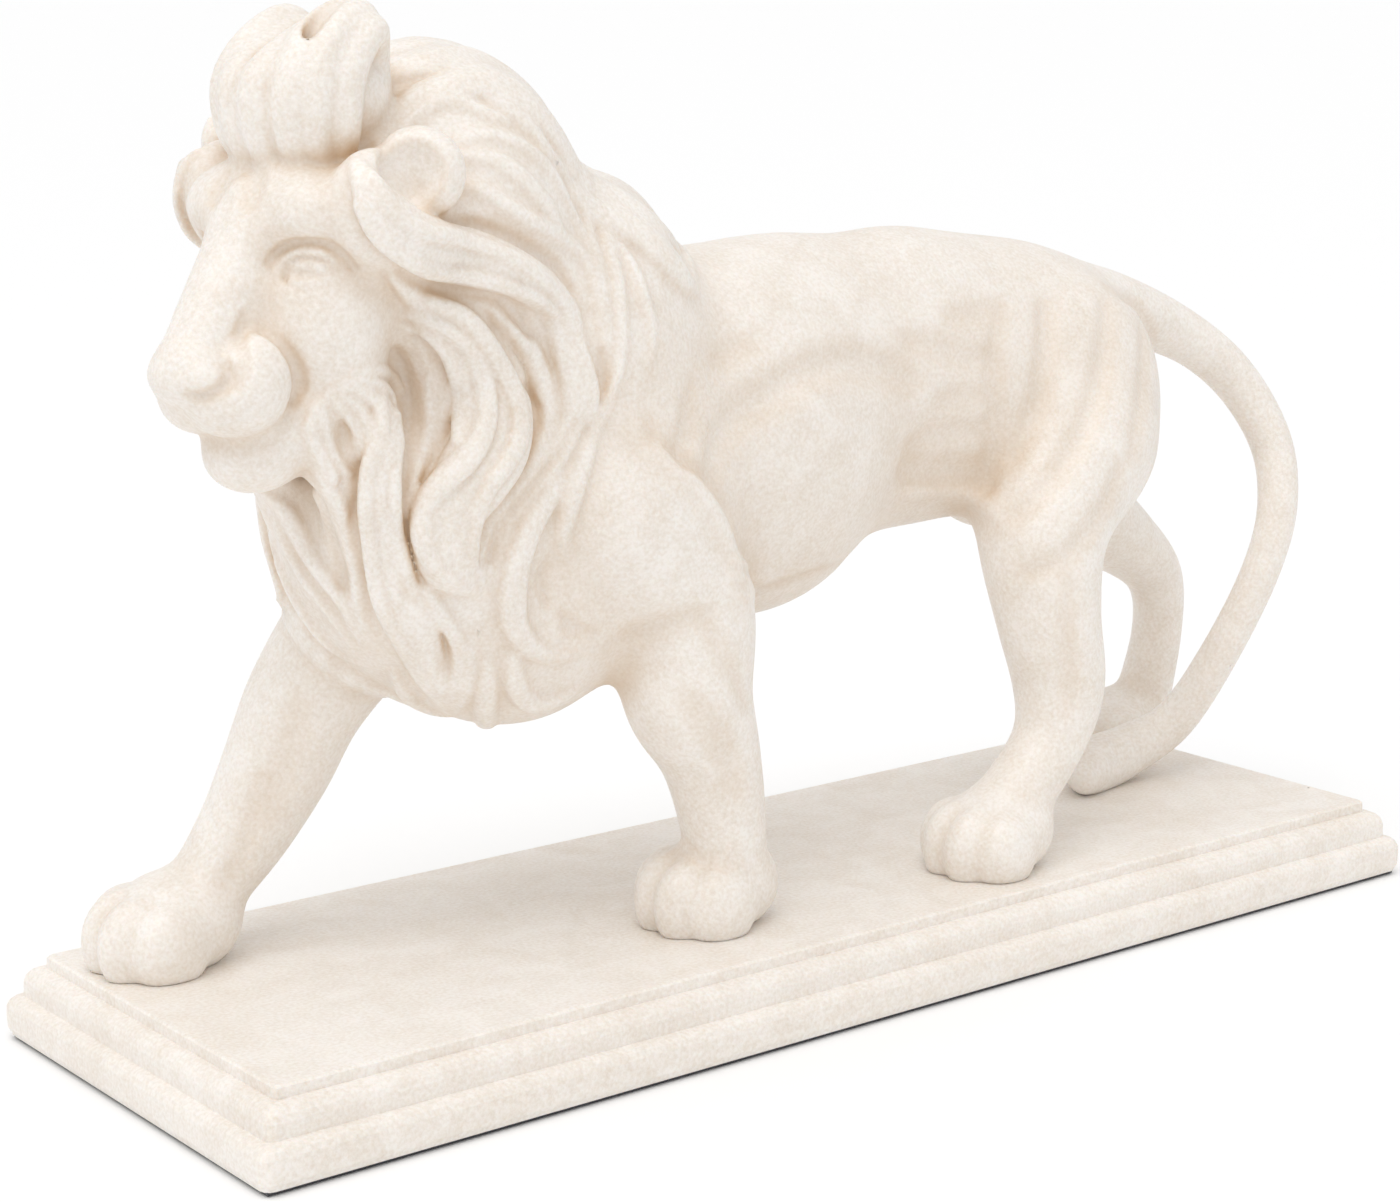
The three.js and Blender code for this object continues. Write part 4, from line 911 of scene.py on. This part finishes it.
    def shape_mane_bed(self) -> None:
        """Shape the mass of the mane beneath its locks, and the skull before it."""
        clay = self.clay
        clay.ball((-84, -3, 155.5), (28.5, 28, 33.6), 6)
        clay.ball((-57, 0, 136), (31.5, 30, 31), 8)
        clay.ball((-83, -1, 107), (29.5, 28, 36), 8)
        clay.ball((-68, -5, 83), (24, 21, 21), 8)
        self.head_ball((-20, 0, 4), (20, 19, 19), 5)
        self.head_ball((-8, 0, 5), (11, 15, 12), 5)
        self.head_limb([(-6, 0, 10, 7), (-1, 0, 3, 7.5), (4, 0, -4, 7.2), (9.5, 0, -12, 6.8),
                        (13.3, 0, -17, 6.2)], 6)
        self.head_ball((3, 0, -20), (11, 10, 9), 4)
        for side in Side:
            self.head_ball((-9.5, 8 * side.value, -12), (12, 10.3, 14), 6)
            self.head_ball((-3.6, 10.5 * side.value, 7.5), (6.4, 7, 6), 5)
            self.head_ball((-10, 19 * side.value, 8.5), (7, 5.5, 9.5), 4)
            self.head_limb([(-9, 9 * side.value, -17, 5.5), (-14, 10.5 * side.value, -28, 6.3),
                            (-20, 12 * side.value, -42, 6)], 5)
            self.head_limb([(-5, 8.3 * side.value, -29, 3.5), (-10, 8 * side.value, -39, 4.8),
                            (-17, 7.5 * side.value, -51, 5)], 4)
            self.head_ball((-18, 18 * side.value, 5), (9, 7.5, 11), 5)

    def shape_face(self) -> None:
        """Shape nose, lip pads, eyes in their sockets, jaw and chin."""
        self.head_ball((14.6, 0, -20.2), (6.4, 8.6, 5.4), 3)
        for side in Side:
            s = side.value
            self.head_ball((7.6, 8.1 * s, -21), (6.8, 6.1, 8.3), 1.6)
            self.head_limb([(-9, 7.5 * s, -22, 4), (-5, 7 * s, -27, 5), (0, 4 * s, -31, 6)], 4)
            self.head_ball((9.4, 3.8 * s, -24.6), (7.4, 6.6, 6.4), 3)
            self.head_ball((4.6, 11.6 * s, -0.6), (3.6, 2.2, 2.2), 5, carve=True)
        self.head_ball((-1, 0, -32), (9.6, 9, 8.4), 3)
        self.head_ball((2, 0, -36), (7.6, 7.6, 5.8), 4)

    def shape_quiff(self) -> None:
        """Sweep the quiff up off the brow in strands that part at the crest."""
        self.head_ball((-14.5, 0.5, 26.5), (13.5, 14, 11.5), 2)
        for turn, crest, top in QUIFF_STRANDS:
            ahead, aside = cos(radians(turn)), sin(radians(turn))
            self.head_limb(
                [
                    (-13 + 10.5 * ahead, 0.8 + 11.2 * aside, 15.8 + 2 * aside ** 2, 2.4),
                    (-12.5 + 12.4 * ahead, 0.8 + 12.2 * aside, 21, 3.2),
                    (-12.5 + 12.4 * ahead, 0.8 + 12.8 * aside, 28.5, 3.6),
                    (-14 + 8 * ahead, 0.8 + (12.8 * aside + crest) / 2, top - 7, 3.3),
                    (-17 + 1.5 * ahead, 0.8 + crest, top - 2.8, 2.8),
                    (-21, crest * 0.75, top - 7, 2.8),
                    (-23, crest * 0.6, top - 16, 2.5),
                ],
                1.5,
            )
        self.head_limb([(-22, 1.3, 42, 2.6), (-14, 1.3, 41, 2), (-6, 1.5, 38, 1), (-1, 1.8, 32, 0.5)],
                       1.5, 8, True)
        self.head_limb([(-14, 9.5, 45, 0.8), (-7.5, 9.5, 38.5, 1.2), (-3, 8.5, 30, 0.6)], 2, 8, True)

    def shape_ears(self) -> None:
        """Shape the ears, each a thick rim round a cup that deepens downwards."""
        for side in Side:
            s = side.value
            self.head_ball((-19, 22.4 * s, 13.6), (5, 8.2, 8.2), 1.5, (0, 0, 40 * s))
            self.head_ball((-14.2, 25.9 * s, 14.4), (4.5, 6.1, 6.2), 1, (0, 0, 40 * s), True)
            self.head_ball((-14.6, 25 * s, 10.8), (3.6, 3.2, 3.6), 1.5, (0, 0, 40 * s), True)
        self.head_limb([(-17, -24, 12, 4), (-16, -26, 17, 3.2), (-15.6, -27, 21, 1.2)], 2)

    def sculpt(self, step: float) -> Clay:
        """Carve the whole lion and return the clay.

        Args:
            step: Distance between the grid points, in millimetres.

        Returns:
            The block that holds the carved surface.
        """
        self.clay = Clay(self.low, self.high, step)
        self.shape_trunk()
        self.shape_legs()
        self.clay.soften(self.body_blend)
        self.shape_tail()
        for x, y, size in PAWS:
            self.shape_paw(x, y, size)
        self.draw(self.clay.copy(), MUSCLE_STROKES)
        self.clay.soften(self.muscle_blend)
        self.shape_mane_bed()
        self.draw(self.clay.copy(), FRINGE)
        bed = self.clay.copy()
        self.shape_ears()
        self.lay_crest(bed)
        self.draw(bed, MANE_LOCKS)
        self.draw(self.clay.copy(), MANE_GROOVES)
        self.clay.soften(self.hair_blend)
        self.shape_face()
        self.draw(self.clay.copy(), STRANDS)
        self.draw(self.clay.copy(), FACE_STROKES)
        self.shape_quiff()
        return self.clay

    def build(self) -> bpy.types.Object:
        """Build the lion's mesh, cut flat where it stands on the plinth."""
        clay = self.sculpt(self.fine_step)
        up = clay.low[2] + clay.step * np.arange(clay.count[2])
        clay.field = np.maximum(clay.field, (self.ledge - up)[None, None, :].astype(np.float32))
        places, faces = clay.skin()
        mesh = bpy.data.meshes.new("lion_casting")
        mesh.from_pydata(places.tolist(), [], faces.tolist())
        mesh.update()
        piece = bpy.data.objects.new("lion_casting", mesh)
        bpy.context.scene.collection.objects.link(piece)
        keep_largest(piece)
        pick_only(piece)
        count = 2 * len(mesh.polygons)
        if count > self.most_triangles:
            thin = piece.modifiers.new("thin", "DECIMATE")
            thin.ratio = self.most_triangles / count
            thin.vertex_group = self.spare_face(piece).name
            bpy.ops.object.modifier_apply(modifier=thin.name)
        mesh.transform(Matrix.Scale(MM, 4))
        bpy.ops.object.shade_smooth()
        self.shade_creases(piece)
        return piece

    def spare_face(self, piece: bpy.types.Object) -> bpy.types.VertexGroup:
        """Return a group of every point but those of the eyes, nose and mouth, which stay fine."""
        apart = np.linalg.norm(point_places(piece) - self.in_head(*self.face_middle), axis=1)
        group = piece.vertex_groups.new(name="thinned")
        group.add(np.nonzero(apart > self.face_reach)[0].tolist(), 1.0, "REPLACE")
        return group

    def shade_creases(self, piece: bpy.types.Object) -> None:
        """Store at each point how shut in it lies, the mask by which shade is painted into the folds."""
        places = point_places(piece) / MM
        out = self.clay.slope(places, self.fold_shade_feel)
        fold_shade_mask = np.zeros(len(places))
        for reach, share in self.fold_shade_reaches:
            fold_shade_mask += share * (1 - np.clip(self.clay.sample(places + out * reach) / reach, 0, 1))
        # Mask of the painted shade in the folds, read by the marble
        layer = piece.data.attributes.new("painted_fold_shade", "FLOAT", "POINT")
        layer.data.foreach_set("value", fold_shade_mask.astype(np.float32))


# Helpers

def pick_only(piece: bpy.types.Object) -> None:
    """Select one object alone and make it active."""
    for other in bpy.context.selected_objects:
        other.select_set(False)
    piece.select_set(True)
    bpy.context.view_layer.objects.active = piece


def point_places(piece: bpy.types.Object) -> np.ndarray:
    """Return the places of a mesh's points, in its own units."""
    flat = np.zeros(3 * len(piece.data.vertices), np.float32)
    piece.data.vertices.foreach_get("co", flat)
    return flat.reshape(-1, 3)


def keep_largest(piece: bpy.types.Object) -> None:
    """Delete every loose part of a mesh but the largest."""
    work = bmesh.new()
    work.from_mesh(piece.data)
    work.verts.ensure_lookup_table()
    left = set(work.verts)
    parts = []
    while left:
        start = left.pop()
        part, edge = [start], [start]
        while edge:
            vert = edge.pop()
            for link in vert.link_edges:
                other = link.other_vert(vert)
                if other in left:
                    left.remove(other)
                    part.append(other)
                    edge.append(other)
        parts.append(part)
    parts.sort(key=len)
    for part in parts[:-1]:
        bmesh.ops.delete(work, geom=part, context="VERTS")
    work.to_mesh(piece.data)
    work.free()


# Finishes

def plain_material(name: str) -> tuple[bpy.types.Material, bpy.types.Node]:
    """Return a new material and its shader."""
    material = bpy.data.materials.new(name)
    material.use_nodes = True
    return material, material.node_tree.nodes["Principled BSDF"]


def mixed_colour(
    tree: bpy.types.NodeTree,
    factor: bpy.types.NodeSocket,
    under: bpy.types.NodeSocket | Colour,
    over: Colour,
) -> bpy.types.NodeSocket:
    """Mix two colours.

    Args:
        tree: The material's nodes.
        factor: What says how much of the second colour there is.
        under: The first colour, or the socket that gives it.
        over: The second colour.

    Returns:
        The socket that gives the mixed colour.
    """
    mix = tree.nodes.new("ShaderNodeMix")
    mix.data_type = "RGBA"
    if isinstance(under, bpy.types.NodeSocket):
        tree.links.new(under, mix.inputs["A"])
    else:
        mix.inputs["A"].default_value = under
    mix.inputs["B"].default_value = over
    tree.links.new(factor, mix.inputs["Factor"])
    return mix.outputs["Result"]


def raise_surface(
    tree: bpy.types.NodeTree, height: bpy.types.NodeSocket, strength: float, distance: float
) -> None:
    """Let a height raise the surface that the material's shader lights."""
    bump = tree.nodes.new("ShaderNodeBump")
    bump.inputs["Strength"].default_value = strength
    bump.inputs["Distance"].default_value = distance
    tree.links.new(height, bump.inputs["Height"])
    tree.links.new(bump.outputs["Normal"], tree.nodes["Principled BSDF"].inputs["Normal"])


@dataclass(frozen=True)
class MarbleFinish:
    """Ivory cast marble: fine grain, cloudy tone, warm shade painted into its folds, a few pinholes."""

    name: str
    ivory: Colour = (0.77, 0.69, 0.60, 1.0)
    pale: Colour = (0.91, 0.865, 0.815, 1.0)
    # Warm brown painted into the folds as their shade
    fold_shade: Colour = (0.64, 0.45, 0.27, 1.0)
    pinhole: Colour = (0.12, 0.08, 0.05, 1.0)
    # Painted shade in the folds: whether it is laid, the mask values where it starts and is full, and its
    # most share
    paints_fold_shade: bool = True
    fold_shade_start: float = 0.1
    fold_shade_end: float = 0.85
    fold_shade_share: float = 0.8
    roughness: float = 0.42
    smoother: float = 0.07
    rougher: float = 0.1
    glow: float = 0.2
    glow_colour: Place = (1.0, 0.72, 0.5)
    glow_depth: float = 0.0025
    refraction: float = 1.5
    gloss: float = 0.45
    relief: float = 0.35
    relief_height: float = 0.0002

    def make(self, grain: bpy.types.NodeTree) -> bpy.types.Material:
        """Return the material, with the shared grain group in it."""
        material, shader = plain_material(self.name)
        nodes, links = material.node_tree.nodes, material.node_tree.links
        shader.inputs["Subsurface Weight"].default_value = self.glow
        shader.inputs["Subsurface Radius"].default_value = self.glow_colour
        shader.inputs["Subsurface Scale"].default_value = self.glow_depth
        shader.inputs["IOR"].default_value = self.refraction
        shader.inputs["Specular IOR Level"].default_value = self.gloss
        cast = nodes.new("ShaderNodeGroup")
        cast.node_tree = grain
        tone = mixed_colour(material.node_tree, cast.outputs["Cloud"], self.ivory, self.pale)
        # Paint warm shade into the folds, by the lion's mask of how shut in each point lies
        if self.paints_fold_shade:
            fold_shade = nodes.new("ShaderNodeAttribute")
            fold_shade.attribute_name = "painted_fold_shade"
            ramp = nodes.new("ShaderNodeMapRange")
            ramp.inputs["From Min"].default_value = self.fold_shade_start
            ramp.inputs["From Max"].default_value = self.fold_shade_end
            ramp.inputs["To Max"].default_value = self.fold_shade_share
            links.new(fold_shade.outputs["Fac"], ramp.inputs["Value"])
            tone = mixed_colour(material.node_tree, ramp.outputs["Result"], tone, self.fold_shade)
        tone = mixed_colour(material.node_tree, cast.outputs["Pinholes"], tone, self.pinhole)
        links.new(tone, shader.inputs["Base Color"])
        rough = nodes.new("ShaderNodeMapRange")
        rough.inputs["To Min"].default_value = self.roughness - self.smoother
        rough.inputs["To Max"].default_value = self.roughness + self.rougher
        links.new(cast.outputs["Grain"], rough.inputs["Value"])
        links.new(rough.outputs["Result"], shader.inputs["Roughness"])
        raise_surface(material.node_tree, cast.outputs["Height"], self.relief, self.relief_height)
        return material


@dataclass(frozen=True)
class FeltFinish:
    """Charcoal felt with short pale fibres."""

    name: str = "felt_charcoal"
    dark: Colour = (0.012, 0.012, 0.016, 1.0)
    fibre: Colour = (0.075, 0.073, 0.085, 1.0)
    fibre_scale: float = 1400.0
    fibre_detail: float = 6.0
    fibre_warp: float = 2.5
    roughness: float = 0.95
    sheen: float = 0.4
    relief: float = 0.7
    relief_height: float = 0.0003

    def make(self) -> bpy.types.Material:
        """Return the material."""
        material, shader = plain_material(self.name)
        nodes, links = material.node_tree.nodes, material.node_tree.links
        shader.inputs["Roughness"].default_value = self.roughness
        shader.inputs["Sheen Weight"].default_value = self.sheen
        place = nodes.new("ShaderNodeTexCoord")
        fibre = nodes.new("ShaderNodeTexNoise")
        fibre.inputs["Scale"].default_value = self.fibre_scale
        fibre.inputs["Detail"].default_value = self.fibre_detail
        fibre.inputs["Distortion"].default_value = self.fibre_warp
        links.new(place.outputs["Object"], fibre.inputs["Vector"])
        ramp = nodes.new("ShaderNodeValToRGB")
        ramp.color_ramp.elements[0].color = self.dark
        ramp.color_ramp.elements[1].color = self.fibre
        links.new(fibre.outputs["Fac"], ramp.inputs["Fac"])
        links.new(ramp.outputs["Color"], shader.inputs["Base Color"])
        raise_surface(material.node_tree, fibre.outputs["Fac"], self.relief, self.relief_height)
        return material


@dataclass(frozen=True)
class CastGrain:
    """Grain, cloudy tone, relief and pinholes of cast marble, shared by its materials.

    Scales count features in a metre. A pinhole's size and rarity are shares of its cell and of 1.
    """

    cloud_scale: float = 90.0
    cloud_detail: float = 4.0
    cloud_warp: float = 0.8
    cloud_share: float = 1.2
    fleck_scale: float = 1300.0
    fleck_detail: float = 3.0
    fleck_share: float = 1.8
    tone_drop: float = 0.85
    fine_scale: float = 2600.0
    fine_detail: float = 2.0
    fine_share: float = 0.4
    pinhole_scale: float = 55.0
    pinhole_size: float = 0.018
    pinhole_rarity: float = 0.8

    def make(self) -> bpy.types.NodeTree:
        """Return the group of nodes."""
        group = bpy.data.node_groups.new("cast_grain", "ShaderNodeTree")
        for name in ("Cloud", "Grain", "Height", "Pinholes"):
            group.interface.new_socket(name=name, in_out="OUTPUT", socket_type="NodeSocketFloat")
        nodes, links = group.nodes, group.links
        out = nodes.new("NodeGroupOutput")
        place = nodes.new("ShaderNodeTexCoord").outputs["Object"]

        def noise(scale: float, detail: float, warp: float = 0.0) -> bpy.types.NodeSocket:
            """Return the value of a noise texture on the object's own coordinates."""
            node = nodes.new("ShaderNodeTexNoise")
            node.inputs["Scale"].default_value = scale
            node.inputs["Detail"].default_value = detail
            node.inputs["Distortion"].default_value = warp
            links.new(place, node.inputs["Vector"])
            return node.outputs["Fac"]

        def sums(
            kind: str, a: bpy.types.NodeSocket, b: bpy.types.NodeSocket | float
        ) -> bpy.types.NodeSocket:
            """Return the outcome of a sum on two sockets, or a socket and a number."""
            node = nodes.new("ShaderNodeMath")
            node.operation = kind
            links.new(a, node.inputs[0])
            if isinstance(b, float):
                node.inputs[1].default_value = b
            else:
                links.new(b, node.inputs[1])
            return node.outputs[0]

        cloud = noise(self.cloud_scale, self.cloud_detail, self.cloud_warp)
        flecks = noise(self.fleck_scale, self.fleck_detail)
        fine = noise(self.fine_scale, self.fine_detail)
        tone = sums("ADD", sums("MULTIPLY", cloud, self.cloud_share),
                    sums("MULTIPLY", flecks, self.fleck_share))
        links.new(sums("SUBTRACT", tone, self.tone_drop), out.inputs["Cloud"])
        links.new(flecks, out.inputs["Grain"])
        relief = sums("ADD", sums("MULTIPLY", fine, self.fine_share), flecks)
        cells = nodes.new("ShaderNodeTexVoronoi")
        cells.inputs["Scale"].default_value = self.pinhole_scale
        links.new(place, cells.inputs["Vector"])
        draw = nodes.new("ShaderNodeSeparateColor")
        links.new(cells.outputs["Color"], draw.inputs["Color"])
        small = sums("LESS_THAN", cells.outputs["Distance"], self.pinhole_size)
        few = sums("GREATER_THAN", draw.outputs[0], self.pinhole_rarity)
        holes = sums("MULTIPLY", small, few)
        links.new(holes, out.inputs["Pinholes"])
        links.new(sums("SUBTRACT", relief, holes), out.inputs["Height"])
        return group


# Studio

@dataclass
class Studio:
    """Floor, soft lights and the camera; millimetres and degrees.

    Attributes:
        view: Where the camera stands and looks from.
        floor_side: Side of the square floor.
        floor_drop: How far the floor lies below the felt.
        floor_tone: Paleness of its paint.
        glow: Strength of the surroundings as they light the lion.
        seen_glow: Their strength as the camera sees them.
        sun_strength: Strength of the broad light overhead.
        sun_spread: Angle that it fills.
        sun_lean: How it is turned about X, Y and Z.
        key_place: Where the square light hangs.
        key_side: Its side.
        key_power: Its power in watts.
        key_aim: Where it points.
        sensor: Width of the camera's film.
        nearest: Nearest thing that the camera shows.
    """

    view: PhotoView
    floor_side: float = 80000.0
    floor_drop: float = 0.2
    floor_tone: float = 0.96
    glow: float = 0.78
    seen_glow: float = 1.0
    sun_strength: float = 0.92
    sun_spread: float = 50.0
    sun_lean: Place = (11.0, -22.0, 0.0)
    key_place: Place = (-420.0, -420.0, 1000.0)
    key_side: float = 400.0
    key_power: float = 0.7
    key_aim: Place = (0.0, 0.0, 90.0)
    sensor: float = 36.0
    nearest: float = 10.0

    def set_up(self) -> None:
        """Make the floor, the pale surroundings, the lights and the camera."""
        bpy.context.scene.view_settings.view_transform = "Standard"
        self.lay_floor()
        self.surround()
        self.hang_sun()
        self.hang_key()
        self.stand_camera()

    def lay_floor(self) -> None:
        """Lay the pale floor."""
        for other in bpy.context.selected_objects:
            other.select_set(False)
        bpy.ops.mesh.primitive_plane_add(size=self.floor_side * MM, location=(0, 0, -self.floor_drop * MM))
        floor = bpy.context.active_object
        floor.name = "floor"
        paint, shader = plain_material("floor_paint")
        shader.inputs["Base Color"].default_value = (*[self.floor_tone] * 3, 1)
        shader.inputs["Roughness"].default_value = 1.0
        floor.data.materials.append(paint)

    def surround(self) -> None:
        """Surround the floor with white, dimmer for the lion than for the camera."""
        world = bpy.data.worlds.new("studio")
        world.use_nodes = True
        nodes, links = world.node_tree.nodes, world.node_tree.links
        sky = nodes["Background"]
        sky.inputs["Color"].default_value = (1, 1, 1, 1)
        path = nodes.new("ShaderNodeLightPath")
        shown = nodes.new("ShaderNodeMapRange")
        shown.inputs["To Min"].default_value = self.glow
        shown.inputs["To Max"].default_value = self.seen_glow
        links.new(path.outputs["Is Camera Ray"], shown.inputs["Value"])
        links.new(shown.outputs["Result"], sky.inputs["Strength"])
        bpy.context.scene.world = world

    def hang_sun(self) -> None:
        """Hang the broad light overhead."""
        lamp = bpy.data.lights.new("overhead", "SUN")
        lamp.energy = self.sun_strength
        lamp.angle = radians(self.sun_spread)
        sun = bpy.data.objects.new("overhead", lamp)
        sun.rotation_euler = [radians(angle) for angle in self.sun_lean]
        bpy.context.scene.collection.objects.link(sun)

    def hang_key(self) -> None:
        """Hang the soft square light and aim it at the lion."""
        lamp = bpy.data.lights.new("key", "AREA")
        lamp.size = self.key_side * MM
        lamp.energy = self.key_power
        hung = bpy.data.objects.new("key", lamp)
        hung.location = Vector(self.key_place) * MM
        aim = Vector(self.key_aim) * MM - hung.location
        hung.rotation_euler = aim.to_track_quat("-Z", "Y").to_euler()
        bpy.context.scene.collection.objects.link(hung)

    def stand_camera(self) -> None:
        """Stand the camera where the photograph was taken from."""
        lens = bpy.data.cameras.new("camera")
        lens.sensor_width = self.sensor
        lens.lens = self.sensor * self.view.focal / self.view.width
        lens.clip_start = self.nearest * MM
        camera = bpy.data.objects.new("camera", lens)
        turned = Matrix(self.view.axes()).transposed().to_4x4()
        camera.matrix_world = Matrix.Translation(Vector(self.view.place() * MM)) @ turned
        bpy.context.scene.collection.objects.link(camera)
        bpy.context.scene.camera = camera


def main() -> None:
    """Build, dress and light the figurine."""
    logging.basicConfig(level=logging.INFO, format="%(name)s: %(message)s")
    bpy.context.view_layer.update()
    view = PhotoView()
    grain = CastGrain().make()
    lion = LionCasting(view).build()
    lion.data.materials.append(MarbleFinish("cast_marble_ivory").make(grain))
    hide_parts("lion")
    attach(lion, "root")
    log.info("lion: %d faces", len(lion.data.polygons))
    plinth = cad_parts["plinth"]
    plinth.data.materials.clear()
    plinth.data.materials.append(MarbleFinish("plinth_marble_ivory", paints_fold_shade=False).make(grain))
    log.info("plinth dressed")
    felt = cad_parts["felt_pad"]
    felt.data.materials.clear()
    felt.data.materials.append(FeltFinish().make())
    log.info("felt pad dressed")
    Studio(view).set_up()
    log.info("studio set up")


if __name__ == "__main__":
    main()
